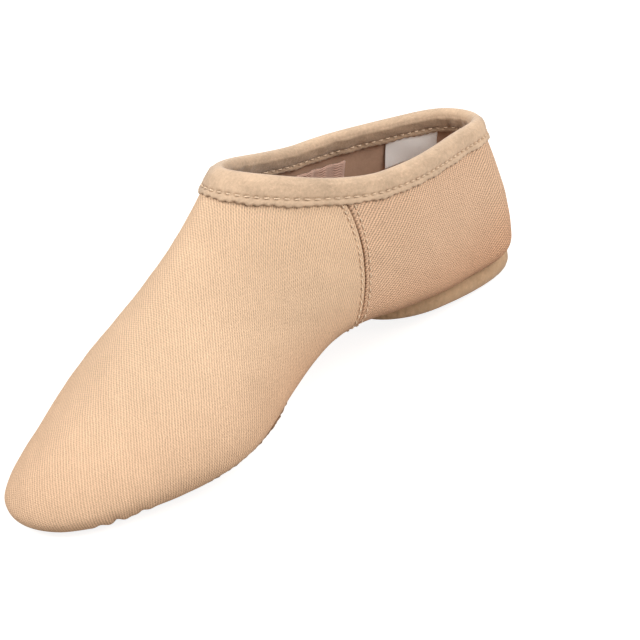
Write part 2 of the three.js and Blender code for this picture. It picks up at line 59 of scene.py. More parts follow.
# Stations from heel to toe: outline x and y, x of the spine, heights of the widest line, sole and ridge.
STATIONS = np.array([
    (-1, 0, 34, 18, 6.5, 94),
    (5, 20, 36, 17, 6.5, 93),
    (30, 23.5, 42, 17, 6.5, 96),
    (66, 33, 68, 20, 7.5, 111),
    (100, 30.5, 100, 22, 10, 99),
    (134, 31, 134, 16, 6, 70),
    (170, 50, 166, 12, 2.5, 49),
    (207, 33.5, 190, 10.5, 3, 36),
    (234, 20, 203, 12.5, 4, 31),
    (242, 0, 207, 14, 5, 30),
])
SPANS = len(STATIONS) - 1
FLIP_SIDE = np.array([1, -1, 1, 1, 1, 1])
SOLE_FLATNESS = 0.87
LOWER_HANDLE = 0.62
UPPER_HANDLE = 0.34
RIDGE_HANDLE = 0.36
TAU_PER_MM = 1 / (SPANS * 34)

# Topline heights at even steps of x, and the side seam's x as a parabola of the height.
RIM_START, RIM_STEP = -25, 25
RIM_HEIGHTS = np.array([65, 65, 67, 66, 66, 66, 89, 105])
SEAM_X, SEAM_Z, SEAM_SLOPE, SEAM_BOW = 96, 30, -0.22, 0.007
ARCH_SEAM_BACK, ARCH_SEAM_FRONT = 74, 130

# Standing: degrees that the heel curls about the arch and the whole tips forward, and the frame's origin.
ARCH_X, ARCH_Z, ARCH_CURL, ARCH_BLEND = 105, 12, 15.5, 50
PITCH = 8.72
ORIGIN_X, ORIGIN_Z = 118.22, 12.65

# Depths below the topline, heights above the shell and thicknesses of cloth.
CLOTH_DROP = 2.4
CANVAS_WALL, LINING_WALL = 0.9, 0.5
LINING_HEIGHT = -1.4
BINDING_WIDTH = 9.5
BINDING_ROLL = 2.4
BINDING_FACE, BINDING_BACK = 1.25, -3.5
STITCH_DEPTH = 0.76 * BINDING_WIDTH
SEAM_ROW = 1.8
SEAM_DROP = 9.0
ELASTIC_START, ELASTIC_WIDTH, ELASTIC_DROP = -42, 24, 12.5
ELASTIC_HEIGHT, ELASTIC_WALL = -2.75, 0.6
TAG_BACK, TAG_FRONT, TAG_TOP, TAG_BOTTOM = 19, 41, 9.9, 21.5
TAG_HEIGHT = -2.55

# Sole pieces: plans as superellipses, and the patch's rows of stitches by their distance from its edge.
PATCH_X, PATCH_LENGTH, PATCH_HALF, PATCH_POWER = 166.5, 38.5, 38, 2.3
PATCH_NOTCH, PATCH_NOTCH_ANGLE = 5, 0.24
PATCH_ROWS = (3.0, 6.2)
PATCH_FACE, PATCH_BACK = 1.75, 0.35
HEEL_PAD = {"back": -3, "front": 74.5, "widest": 48, "half": 18, "power": 2.1}
HEEL_PAD_TOP, HEEL_PAD_SKIN, HEEL_PAD_GAP = 8.0, 1.2, 0.45
HEEL_PAD_MIDDLE = (HEEL_PAD["back"] + HEEL_PAD["front"]) / 2
BALL_PAD = {"back": 132, "front": 208, "widest": 172, "half": 31, "power": 2.2}
HEEL_SEAT = {"back": 12, "front": 53, "widest": 34, "half": 16, "power": 2.2}
CUSHION_HEIGHTS, SOCK_HEIGHTS = (-2.5, -4.6), (-4.9, -5.8)

# Creases from the front of the patch to the toe: angle about PLEAT_X, depth, and reach from PLEAT_START.
PLEAT_X, PLEAT_START = 186.0, 17.0
PLEATS = [(-57, 1.2, 26), (-46, 1.9, 32), (-35, 2.4, 29), (-24, 2.0, 27), (-13, 2.4, 29), (-2, 1.9, 25),
          (9, 2.3, 28), (20, 1.9, 26), (31, 2.4, 29), (42, 2.0, 31), (54, 1.3, 27)]

# In metres: the welding distance, and the camera's aim.
WELD = 2e-8
LOOK_AT = (-0.01142, 0.01573, 0.02735)


def cubic_weights(f):
    """Weights of the four neighbours of a uniform cubic B-spline at the fraction f of a span."""
    g = 1 - f
    return g**3 / 6, (3 * f**3 - 6 * f**2 + 4) / 6, (3 * g**3 - 6 * g**2 + 4) / 6, f**3 / 6


def station_values(tau):
    """The station table at tau: a uniform cubic B-spline, mirrored at the heel and the toe."""
    table = np.vstack([STATIONS[1] * FLIP_SIDE, STATIONS, STATIONS[-2] * FLIP_SIDE])
    t = np.clip(tau, 0, 1) * SPANS
    i = np.minimum(np.floor(t).astype(int), SPANS - 1)
    return sum(w[..., None] * table[i + k] for k, w in enumerate(cubic_weights(t - i)))


def spine_slopes(tau):
    """Slope of the sole and of the ridge along the centre line, by a small central difference."""
    at = np.clip(tau, 0.02, 0.98)
    rise = station_values(at + 1e-3) - station_values(at - 1e-3)
    return rise[..., 4] / rise[..., 2], rise[..., 5] / rise[..., 2]


def bezier(a, b, c, d, t):
    """A cubic Bezier curve of four values at t."""
    s = 1 - t
    return s**3 * a + 3 * s**2 * t * b + 3 * s * t**2 * c + t**3 * d


def shell(tau, v):
    """A point of the upper's outer face: in the upright plane at tau, a flat-bottomed Bezier curve from
    the sole (v 0) to the widest line (v 1), and a second one on to the ridge (v 2)."""
    tau, v = np.broadcast_arrays(np.asarray(tau, float), np.asarray(v, float))
    sign = np.where((v > 2) | (tau < 0) | (tau > 1), -1.0, 1.0)
    v = np.where(v > 2, 4 - v, v)
    tau = np.where(tau < 0, -tau, np.where(tau > 1, 2 - tau, tau))
    out_x, out_y, mid_x, wide, sole, ridge = np.moveaxis(station_values(tau), -1, 0)
    sole_slope, ridge_slope = spine_slopes(tau)
    dx = out_x - mid_x
    dy = np.maximum(out_y, 0)
    reach = np.hypot(dx, dy)
    along = dx / reach
    flat = SOLE_FLATNESS * reach
    broad = RIDGE_HANDLE * reach
    low = np.clip(v, 0, 1)
    high = np.clip(v - 1, 0, 1)
    r_low = bezier(0, flat, reach, reach, low)
    z_low = bezier(sole, sole + sole_slope * along * flat, wide - LOWER_HANDLE * (wide - sole), wide, low)
    r_high = bezier(reach, reach, broad, 0, high)
    over = ridge + ridge_slope * along * broad
    z_high = bezier(wide, wide + UPPER_HANDLE * (ridge - wide), over, ridge, high)
    r = np.where(v <= 1, r_low, r_high)
    z = np.where(v <= 1, z_low, z_high)
    return np.stack([mid_x + r * along, sign * r * dy / reach, z], -1)


def unit(a):
    """Vectors scaled to length one."""
    return a / np.maximum(np.linalg.norm(a, axis=-1, keepdims=True), 1e-12)


def shell_normal(tau, v):
    """Outward normal of the upper: the cross product of its two small differences."""
    step = 1e-3
    v_at = np.maximum(v, step)
    d_tau = shell(tau + step, v_at) - shell(tau - step, v_at)
    d_v = shell(tau, v_at + step) - shell(tau, v_at - step)
    normal = np.cross(d_v, d_tau)
    on_middle = np.abs(shell(tau, v)[..., 1]) < 1e-6
    normal[..., 1] = np.where(on_middle, 0, normal[..., 1])
    return unit(normal)


def bisect(low, high, below, shape=()):
    """The value between low and high where a test stops holding, halved 34 times."""
    a = np.full(shape, float(low))
    b = np.full(shape, float(high))
    for _ in range(34):
        m = (a + b) / 2
        is_below = below(m)
        a = np.where(is_below, m, a)
        b = np.where(is_below, b, m)
    return (a + b) / 2


def rim_height(x):
    """Height of the topline at x: a uniform cubic B-spline of its heights."""
    t = np.clip((x - RIM_START) / RIM_STEP, 1, len(RIM_HEIGHTS) - 2 - 1e-9)
    i = np.floor(t).astype(int)
    return sum(w * RIM_HEIGHTS[i - 1 + k] for k, w in enumerate(cubic_weights(t - i)))


def throat_tau(drop):
    """tau where a line a given drop below the topline meets the ridge."""
    def above(tau):
        p = shell(tau, 2.0)
        return p[..., 2] > rim_height(p[..., 0]) - drop
    return float(bisect(0.35, 0.75, above))


def rim_v(tau, drop):
    """v where the profile at tau meets a line a given drop below the topline."""
    tau = np.asarray(tau, float)

    def under(v):
        p = shell(tau, v)
        return p[..., 2] < rim_height(p[..., 0]) - drop
    return np.where(tau >= throat_tau(drop), 2.0, bisect(1, 2, under, tau.shape))


def seam_tau(v):
    """tau of the side seam at v: the seam's x is a parabola of the height."""
    v = np.asarray(v, float)

    def behind(tau):
        p = shell(tau, v)
        dz = p[..., 2] - SEAM_Z
        return p[..., 0] < SEAM_X + SEAM_SLOPE * dz + SEAM_BOW * dz**2
    return bisect(0.3, 0.6, behind, v.shape)


def smoothstep(t):
    """0 below 0, 1 above 1, and 3t^2 - 2t^3 between."""
    t = np.clip(t, 0, 1)
    return t * t * (3 - 2 * t)


def hump(distance, width):
    """A bell of height 1: exp(-(distance / width)^2)."""
    return np.exp(-((distance / width) ** 2))


def turned(x, z, degrees):
    """A turn about the arch in the upright plane."""
    a = np.radians(degrees)
    dx = x - ARCH_X
    dz = z - ARCH_Z
    return ARCH_X + dx * np.cos(a) - dz * np.sin(a), ARCH_Z + dx * np.sin(a) + dz * np.cos(a)


def stand(p):
    """From the straight last to the standing slipper: the heel curls down about the arch by a smooth
    share of the curl, and then the whole tips forward and moves on to the floor."""
    share = smoothstep((ARCH_X + ARCH_BLEND / 2 - p[..., 0]) / ARCH_BLEND)
    x, z = turned(p[..., 0], p[..., 2], ARCH_CURL * share)
    x, z = turned(x, z, -PITCH)
    return np.stack([x - ORIGIN_X, p[..., 1], z + ORIGIN_Z], -1)


def settled(p, tau, v):
    """tau and v of the place on the shell nearest to p, by five Newton steps."""
    step = 1e-4
    for _ in range(5):
        at = shell(tau, v)
        a = (shell(tau + step, v) - at) / step
        b = (shell(tau, v + step) - at) / step
        miss = p - at
        aa, ab, bb = (a * a).sum(-1), (a * b).sum(-1), (b * b).sum(-1)
        am, bm = (a * miss).sum(-1), (b * miss).sum(-1)
        det = aa * bb - ab * ab
        tau = tau + (bb * am - ab * bm) / det
        v = v + (aa * bm - ab * am) / det
    return tau, v


def underside(x, y):
    """tau and v of the place on the sole side of the shell at a plan point."""
    x, side = np.broadcast_arrays(np.asarray(x, float), np.maximum(np.abs(y), 0.01))

    def behind(tau):
        row = station_values(tau)
        from_spine = (x - row[..., 2]) * np.maximum(row[..., 1], 0)
        return from_spine - side * (row[..., 0] - row[..., 2]) > 0
    tau = bisect(0, 1, behind, x.shape)
    mid_x = station_values(tau)[..., 2]
    reach = np.hypot(x - mid_x, side)

    def inside(v):
        p = shell(tau, v)
        return np.hypot(p[..., 0] - mid_x, p[..., 1]) < reach
    return tau, bisect(0, 1, inside, x.shape)


def underside_point(x, y, height):
    """The point of the sole at a plan point, moved out by a height along its normal, and that normal."""
    tau, v = underside(x, y)
    normal = shell_normal(tau, v)
    at = shell(tau, v) + normal * np.asarray(height)[..., None]
    sign = np.where(np.asarray(y) < 0, -1.0, 1.0)
    at[..., 1] *= sign
    normal[..., 1] *= sign
    return at, normal


def ripple(p, seed, size):
    """Gentle unevenness between -1 and 1: three crossing sine waves of about the given size in mm."""
    k = 2 * math.pi / size
    x, y, z = p[..., 0], p[..., 1], p[..., 2]
    a = np.sin(k * (x + 0.4 * z) + seed) * np.cos(k * 0.8 * (y - 0.3 * x) + 1.7 * seed)
    b = np.sin(k * 1.27 * (0.6 * x - z) + 2.1 * seed) * np.cos(k * 0.9 * (y + 0.5 * z) + seed)
    c = np.sin(k * 1.9 * (0.5 * y + 0.7 * z - 0.4 * x) + 0.7 * seed)
    return (a + b + 0.5 * c) / 2.5


# ---- mesh building -------------------------------------------------------------------------------------

def grid_quads(rows, columns, wrap_rows=False, wrap_columns=False):
    """Corner numbers of the quads of a grid, as an array of fours."""
    i = np.arange(rows if wrap_rows else rows - 1)
    j = np.arange(columns if wrap_columns else columns - 1)
    i, j = np.meshgrid(i, j, indexing="ij")
    i2 = (i + 1) % rows
    j2 = (j + 1) % columns
    corners = [i * columns + j, i * columns + j2, i2 * columns + j2, i2 * columns + j]
    return np.stack(corners, -1).reshape(-1, 4)


def signed_volume(co, quads):
    """Six times the volume inside the quads, above 0 when they face outwards."""
    a, b, c, d = (co[quads[:, k]] for k in range(4))
    return (np.cross(b, c) * a).sum() + (np.cross(c, d) * a).sum()


def new_piece(name, points, quads, outward=None, uv=None, masks=None):
    """A mesh object from last coordinates in mm and quads: it is stood up, scaled to metres, welded where
    points coincide, and turned to face outwards, by its volume or by a normal given for each point.
    uv holds a pair for each point, and masks a named value for each point."""
    co = stand(points.reshape(-1, 3)) * 0.001
    if outward is None:
        facing = signed_volume(co - co.mean(0), quads)
    else:
        a, b, c, d = (points.reshape(-1, 3)[quads[:, k]] for k in range(4))
        facing = (np.cross(c - a, d - b) * outward.reshape(-1, 3)[quads[:, 0]]).sum()
    if facing < 0:
        quads = quads[:, ::-1]
    cells = np.round(co / WELD).astype(np.int64)
    _, first, weld = np.unique(cells, axis=0, return_index=True, return_inverse=True)
    weld = weld.reshape(-1)
    corners = weld[quads]
    keep = corners != np.roll(corners, -1, axis=1)
    enough = keep.sum(1) > 2
    keep &= enough[:, None]
    totals = keep.sum(1)[enough]
    starts = np.concatenate([[0], np.cumsum(totals)[:-1]])
    mesh = bpy.data.meshes.new(name)
    mesh.vertices.add(len(first))
    mesh.vertices.foreach_set("co", co[first].astype(np.float32).ravel())
    mesh.loops.add(int(totals.sum()))
    mesh.loops.foreach_set("vertex_index", corners[keep].astype(np.int32))
    mesh.polygons.add(len(totals))
    mesh.polygons.foreach_set("loop_start", starts.astype(np.int32))
    mesh.polygons.foreach_set("loop_total", totals.astype(np.int32))
    mesh.polygons.foreach_set("use_smooth", np.ones(len(totals), bool))
    if uv is not None:
        layer = mesh.uv_layers.new(name="cloth")
        layer.data.foreach_set("uv", uv.reshape(-1, 2)[quads][keep].astype(np.float32).ravel())
    for key, values in (masks or {}).items():
        attribute = mesh.attributes.new(key, "FLOAT", "POINT")
        attribute.data.foreach_set("value", values.reshape(-1)[first].astype(np.float32))
    mesh.update(calc_edges=True)
    mesh.validate()
    piece = bpy.data.objects.new(name, mesh)
    bpy.context.scene.collection.objects.link(piece)
    return piece


def thicken(piece, thickness):
    """A wall of so many mm inwards from the piece's face."""
    wall = piece.modifiers.new("wall", "SOLIDIFY")
    wall.thickness = thickness * 0.001
    wall.offset = -1
    wall.use_even_offset = False


def dress(piece, material, nodes):
    """Gives the piece its material and hides the solid nodes that it stands for."""
    piece.data.materials.append(material)
    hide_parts(*nodes)


def flex(piece):
    """Cloth that crosses the arch: its placement is baked into its mesh."""
    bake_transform(piece)


def two_sided(left, flip=(1, -1, 1)):
    """A left half grid, and its mirror image beyond the centre line, as one wide grid. The right half is
    multiplied by flip: points turn their y, and plain values, with a flip of 1, stay."""
    return np.concatenate([left[:, ::-1], left[:, 1:] * np.array(flip)], 1)


# ---- the two halves of the upper -----------------------------------------------------------------------

def cloth_rows(lower, upper):
    """Row places from the sole (0) to the top (2), closer together near the centre line."""
    t = np.linspace(0, 1, lower)
    low = 0.3 * t + 0.7 * t**1.7
    return np.concatenate([low, 1 + np.linspace(0, 1, upper + 1)[1:]])


def on_row(row, tau, drop):
    """v of a row at tau: rows above the widest line shrink under the topline."""
    return np.where(row <= 1, row, 1 + (row - 1) * (rim_v(tau, drop) - 1))


def seam_ends(rows):
    """tau of the side seam on each row."""
    near = np.full_like(rows, float(seam_tau(1.0)))
    return seam_tau(on_row(rows, near, CLOTH_DROP))


def vamp_places(near_seam, middle, toe, rows):
    """tau and v of the vamp's half grid. Columns crowd at the seam, at the throat and in the toe."""
    throat = throat_tau(CLOTH_DROP)
    toe_start = 0.74
    t = np.linspace(0, 1, near_seam)
    share = 0.3 * t + 0.7 * t * t * (3 - 2 * t)
    start = seam_ends(rows)
    first = start[None] + (throat - start[None]) * share[:, None]
    rest = np.concatenate([np.linspace(throat, toe_start, middle)[1:], np.linspace(toe_start, 1, toe)[1:]])
    tau = np.vstack([first, np.broadcast_to(rest[:, None], (len(rest), len(rows)))])
    return tau, on_row(np.broadcast_to(rows, tau.shape), tau, CLOTH_DROP)


def quarter_places(columns, rows):
    """tau and v of the quarter's half grid, from the heel to the seam, where columns crowd."""
    back = 1 - np.linspace(0, 1, columns)
    share = 1 - (0.25 * back + 0.75 * back**1.6)
    tau = seam_ends(rows)[None] * share[:, None]
    return tau, on_row(np.broadcast_to(rows, tau.shape), tau, CLOTH_DROP)


def seam_line(offset, drop):
    """Dense points beside the side seam from the sole to under the topline: v, point, normal, length."""
    v_top = float(rim_v(seam_tau(1.0) + offset * TAU_PER_MM, drop))
    v = np.linspace(0, v_top, 240)
    tau = seam_tau(v) + offset * TAU_PER_MM
    at = shell(tau, v)
    return v, at, shell_normal(tau, v), arc_lengths(at)


def arc_lengths(points, axis=0):
    """Running length along a line of points, or along one direction of a grid of them."""
    steps = np.linalg.norm(np.diff(points, axis=axis), axis=-1)
    start = np.zeros_like(np.take(steps, [0], axis))
    return np.concatenate([start, np.cumsum(steps, axis)], axis)


def stitch_dent(distance, length, pitch, width=0.55):
    """The groove a row of stitches pulls: deepest at the needle holes, half way between stitches."""
    return hump(distance, width) * (0.62 - 0.38 * np.cos(2 * math.pi * length / pitch))


def seam_relief(distance, length, pitch):
    """Folded seam: a sharp valley, a roll of doubled cloth on each side, and the stitch groove."""
    away = np.abs(distance)
    return (-0.75 * hump(away, 0.34) + 0.22 * hump(away - 0.9, 0.6) + 0.14 * hump(away - 2.7, 0.8)
            - 0.34 * stitch_dent(away - SEAM_ROW, length, pitch, 0.42))


def pleat_relief(p, depth_scale):
    """Gathers under the toe: for each crease a narrow valley between two soft rolls, which starts at the
    patch, wanders a little, widens, and fades out along its reach."""
    dx = p[..., 0] - PLEAT_X
    dy = p[..., 1]
    radius = np.hypot(dx, dy)
    angle = np.degrees(np.arctan2(dy, dx))
    along = radius - PLEAT_START
    width = 0.7 + 0.03 * np.clip(along, 0, 40)
    out = np.zeros(radius.shape)
    for direction, depth, reach in PLEATS:
        turn = angle - direction - 2.2 * np.sin(radius / 6.0 + direction)
        across = radius * np.radians(turn)
        fade = smoothstep((along - 0.35 * reach) / (0.75 * reach))
        strength = depth * smoothstep((along + 3) / 5) * (1 - fade)
        valley = -hump(across, width) + 0.40 * hump(np.abs(across) - 2.4, 1.3)
        out += np.where(np.abs(turn) < 60, strength * valley, 0)
    sole_side = 1 - smoothstep((p[..., 2] - 7.5) / 7.0)
    return depth_scale * out * sole_side


def vamp_uv(tau, v):
    """Flat place of the vamp's cloth in mm: unrolled from the ridge, along each profile's direction."""
    row = station_values(tau)
    dx = row[..., 0] - row[..., 2]
    dy = np.maximum(row[..., 1], 0)
    reach = np.hypot(dx, dy)
    places = v[..., None] + (2 - v[..., None]) * np.linspace(0, 1, 15)
    line = shell(np.broadcast_to(tau[..., None], places.shape), places)
    down = np.linalg.norm(np.diff(line, axis=-2), axis=-1).sum(-1)
    return np.stack([row[..., 2] + down * dx / reach, down * dy / reach], -1)


def quarter_uv(at):
    """Flat place of the quarter's cloth in mm: the way round from the heel along the top, and the way up."""
    way = arc_lengths(at[..., :2])[:, -1:]
    up = arc_lengths(at, 1)
    return np.stack([np.broadcast_to(way, up.shape), up], -1)


def upper_piece(name, tau, v, side, cloth, stitch_pitch, height=0.0, detailed=True):
    """The vamp (side 1) or the quarter (side -1) as a wide grid over left and right. Height above the
    shell = seam folds + centre seam under the arch + gathers under the toe + soft unevenness."""
    left = shell(tau, v)
    points = two_sided(left)
    outward = two_sided(shell_normal(tau, v))
    far = two_sided((tau - seam_tau(v)) / TAU_PER_MM, 1)
    crease = np.zeros(far.shape)
    relief = np.full(far.shape, height)
    on_middle = np.abs(points[..., 1]) < 1e-6
    if detailed:
        row_v, _, _, row_length = seam_line(side * SEAM_ROW, SEAM_DROP)
        way = two_sided(np.interp(v, row_v, row_length), 1)
        x, y = points[..., 0], points[..., 1]
        low = 1 - smoothstep((two_sided(v, 1) - 0.45) / 0.3)
        under = low * smoothstep((x - ARCH_SEAM_BACK) / 3) * (1 - smoothstep((x - ARCH_SEAM_FRONT) / 4))
        middle = under * seam_relief(y, x, stitch_pitch)
        pleats = pleat_relief(points, cloth.pleat_depth)
        soft = cloth.unevenness * 1000 * (0.6 * ripple(points, 1.3, 34) + 0.4 * ripple(points, 4.1, 15))
        relief = relief + seam_relief(far, way, stitch_pitch) + np.minimum(middle, 0.4) + pleats + soft
        side_row = stitch_dent(np.abs(far) - SEAM_ROW, way, stitch_pitch, 0.3)
        arch_row = stitch_dent(np.abs(y) - SEAM_ROW, x, stitch_pitch, 0.3)
        # Painted shade: the crease mask darkens the seam valleys, the stitch grooves, the centre seam under
        # the arch and the valleys of the gathers.
        crease = 0.9 * hump(far, 0.3) + 0.3 * side_row
        crease = crease + under * (0.9 * hump(y, 0.3) + 0.3 * arch_row)
        crease = crease + np.clip(-0.42 * pleats, 0, 1)
    if side > 0:
        uv = two_sided(vamp_uv(tau, v), (1, -1))
    else:
        uv = two_sided(quarter_uv(left), (-1, 1))
    points = points + outward * relief[..., None]
    points[..., 1] = np.where(on_middle, 0, points[..., 1])
    return new_piece(name, points, grid_quads(*far.shape), outward=outward, uv=uv / 10,
                     masks={"crease": np.clip(crease, 0, 1)})


# ---- the topline ---------------------------------------------------------------------------------------

def rim_stations(per_side):
    """Left half of the topline: places on the shell, their points and the way down the cloth. They
    crowd towards the throat, as the sine of an even step."""
    i = np.arange(per_side + 1)
    tau = throat_tau(0) * np.sin(math.pi / 2 * i / per_side)
    v = rim_v(tau, 0)
    at = shell(tau, v)
    flip = np.array([1, -1, 1])
    before = np.vstack([at[1] * flip, at[:-1]])
    after = np.vstack([at[1:], at[-2] * flip])
    down = unit(np.cross(shell_normal(tau, v), unit(after - before)))
    return tau, v, at, down


def below_rim(stations, s, h):
    """Points s mm down the cloth from the topline and h mm out, for each station and each (s, h)."""
    tau, v, at, down = stations
    s = np.asarray(s, float)
    aim = at[:, None] + down[:, None] * s[..., None]
    shape = aim.shape[:2]
    tau2, v2 = settled(aim, np.broadcast_to(tau[:, None], shape), np.broadcast_to(v[:, None], shape))
    spot = shell(tau2, v2)
    normal = shell_normal(tau2, v2)
    on_middle = (np.abs(at[:, 1]) < 1e-6)[:, None]
    spot[..., 1] = np.where(on_middle, 0, spot[..., 1])
    normal[..., 1] = np.where(on_middle, 0, normal[..., 1])
    normal = unit(normal)
    return spot + normal * np.asarray(h, float)[..., None], normal


def round_the_rim(left):
    """The left half's stations, followed by their mirror images back to the heel."""
    right = left[1:-1][::-1] * np.array([1, -1, 1])
    return np.concatenate([left, right])


def rim_line(per_side, s, h):
    """A closed line round the opening at one depth: points and normals."""
    stations = rim_stations(per_side)
    at, normal = below_rim(stations, np.full((per_side + 1, 1), s), np.full((per_side + 1, 1), h))
    return round_the_rim(at[:, 0]), round_the_rim(normal[:, 0])


def closed_lengths(points):
    """Running length round a closed line, and its whole length."""
    lengths = arc_lengths(np.vstack([points, points[:1]]))
    return lengths[:-1], lengths[-1]


# ---- stitches ------------------------------------------------------------------------------------------

def stitch_frames(points, normals, pitch, closed):
    """Places of stitches at even steps along a line: middle, direction and normal of each."""
    if closed:
        points = np.vstack([points, points[:1]])
        normals = np.vstack([normals, normals[:1]])
    length = arc_lengths(points)
    count = max(int(round(length[-1] / pitch)), 1)
    step = length[-1] / count
    centre = step * (np.arange(count) + (0 if closed else 0.5))

    def along(values, at):
        at = at % length[-1] if closed else np.clip(at, 0, length[-1])
        return np.stack([np.interp(at, length, values[:, k]) for k in range(3)], -1)
    forward = unit(along(points, centre + 0.3) - along(points, centre - 0.3))
    return along(points, centre), forward, unit(along(normals, centre))


def stitches(name, lines, pitch, size, arch=0.22):
    """Short threads, each a tube of six sides and seven rings: its middle rises by the arch and its ends
    sink, radius times (1 - t^6)^(1/2), closed to a point at both ends."""
    all_points = []
    all_quads = []
    base = 0
    t = np.array([-1, -0.86, -0.5, 0, 0.5, 0.86, 1.0])
    turn = np.linspace(0, 2 * math.pi, 6, endpoint=False)
    for points, normals, closed in lines:
        centre, forward, up = stitch_frames(points, normals, pitch, closed)
        side = unit(np.cross(forward, up))
        count = len(centre)
        number = np.arange(count)
        wander = 0.12 * np.sin(number * 2.399)[:, None]
        lean = unit(forward + side * wander)
        half = 0.5 * size["length"] * (1 + 0.08 * np.sin(number * 1.7))[:, None, None]
        line = centre[:, None] + lean[:, None] * half * t[None, :, None]
        line = line + up[:, None] * (arch * (1 - t**2) - size["sink"] * np.abs(t) ** 5)[None, :, None]
        radius = size["radius"] * np.sqrt(np.clip(1 - t**6, 0, 1))
        ring = (side[:, None, None] * np.cos(turn)[None, None, :, None]
                + up[:, None, None] * np.sin(turn)[None, None, :, None])
        tube = line[:, :, None] + radius[None, :, None, None] * ring
        quads = grid_quads(len(t), len(turn), wrap_columns=True)
        quads = (quads[None] + (base + number * len(t) * len(turn))[:, None, None]).reshape(-1, 4)
        all_points.append(tube.reshape(-1, 3))
        all_quads.append(quads)
        base += tube.size // 3
    return new_piece(name, np.concatenate(all_points), np.concatenate(all_quads))


def seam_rows(offset, height=0.2):
    """A row of stitches beside the side seam, left and right, joined under the arch."""
    _, at, normal, _ = seam_line(offset, SEAM_DROP)
    at = at + normal * height
    flip = np.array([1, -1, 1])
    return np.vstack([at[::-1], at[1:] * flip]), np.vstack([normal[::-1], normal[1:] * flip]), False


def centre_row(start, end, side, height=0.12):
    """A row beside the seam under the arch, on the left (1) or the right (-1)."""
    x = np.linspace(start, end, 40)
    at, normal = underside_point(x, np.full_like(x, side * SEAM_ROW), np.full_like(x, height))
    return at, normal, False


# ---- pieces under the foot -----------------------------------------------------------------------------

def patch_outline(angle, inset):
    """Plan of the forefoot patch: a broad superellipse with a soft notch at the back."""
    c = np.abs(np.cos(angle)) / (PATCH_LENGTH - inset)
    s = np.abs(np.sin(angle)) / (PATCH_HALF - inset)
    radius = (c**PATCH_POWER + s**PATCH_POWER) ** (-1 / PATCH_POWER)
    radius = radius - PATCH_NOTCH * hump(np.abs(angle) - math.pi, PATCH_NOTCH_ANGLE)
    return PATCH_X + radius * np.cos(angle), radius * np.sin(angle)


def pad_outline(pad, angle, inset):
    """Plan of a pad: a superellipse for each quarter, between its back, its front and its sides."""
    c = np.cos(angle)
    s = np.sin(angle)
    length = np.where(c > 0, pad["front"] - pad["widest"], pad["widest"] - pad["back"]) - inset
    x = np.sign(c) * np.abs(c) ** (2 / pad["power"]) * length
    y = np.sign(s) * np.abs(s) ** (2 / pad["power"]) * (pad["half"] - inset)
    return pad["widest"] + x, y


def turn_angles(count):
    """Even angles round a full turn, from -pi."""
    return 2 * math.pi * np.arange(count) / count - math.pi


def capped(rings, top, bottom):
    """Rings from the top's middle over the edge to the bottom's middle, closed with a pole at each end."""
    count = rings.shape[1]
    first = np.broadcast_to(top, (1, count, 3))
    last = np.broadcast_to(bottom, (1, count, 3))
    return np.concatenate([first, rings, last])


def following_pad(name, pad, low, high, crown, sides, steps):
    """A pad that follows the sole between two heights: a polar grid whose top is crowned by the given
    amount, with a rounded edge."""
    angle = turn_angles(sides)
    t = np.concatenate([np.linspace(0.12, 1, steps), np.full(5, 1.0), np.linspace(1, 0.12, 8)])
    middle = (low + high) / 2
    half = abs(high - low) / 2
    sign = 1 if high > low else -1
    edge = np.linspace(math.pi / 2, -math.pi / 2, 7)[1:-1]
    lift = np.concatenate([np.full(steps, half), half * np.sin(edge), np.full(8, -half)])
    inset = np.concatenate([np.zeros(steps), -half * 0.5 * np.cos(edge), np.zeros(8)])
    x, y = pad_outline(pad, angle, 0)
    share = t[:, None]
    px = pad["widest"] + (x[None] - pad["widest"]) * share
    py = y[None] * share
    reach = np.hypot(px - pad["widest"], py) + 1e-9
    px = px - (px - pad["widest"]) / reach * inset[:, None]
    py = py - py / reach * inset[:, None]
    on_top = np.concatenate([np.ones(steps), np.zeros(13)])[:, None]
    shape = crown * (1 - share**3) * on_top
    height = middle + sign * (lift[:, None] - (crown - shape) * on_top)
    rings, _ = underside_point(px, py, height)
    centre = np.array([pad["widest"] + 0.0])
    top, _ = underside_point(centre, np.zeros(1), np.array([middle + sign * half]))
    bottom, _ = underside_point(centre, np.zeros(1), np.array([middle - sign * half]))
    grid = capped(rings, top[0], bottom[0])
    return new_piece(name, grid, grid_quads(len(grid), sides, wrap_columns=True))


def pad_top(x, y):
    """Height of the heel pad's upper side: just under the canvas, but no higher than its edge."""
    tau, v = underside(x, y)
    canvas = np.where(v > 0.8, 1e3, shell(tau, v)[..., 2])
    return np.minimum(canvas - HEEL_PAD_GAP, HEEL_PAD_TOP)


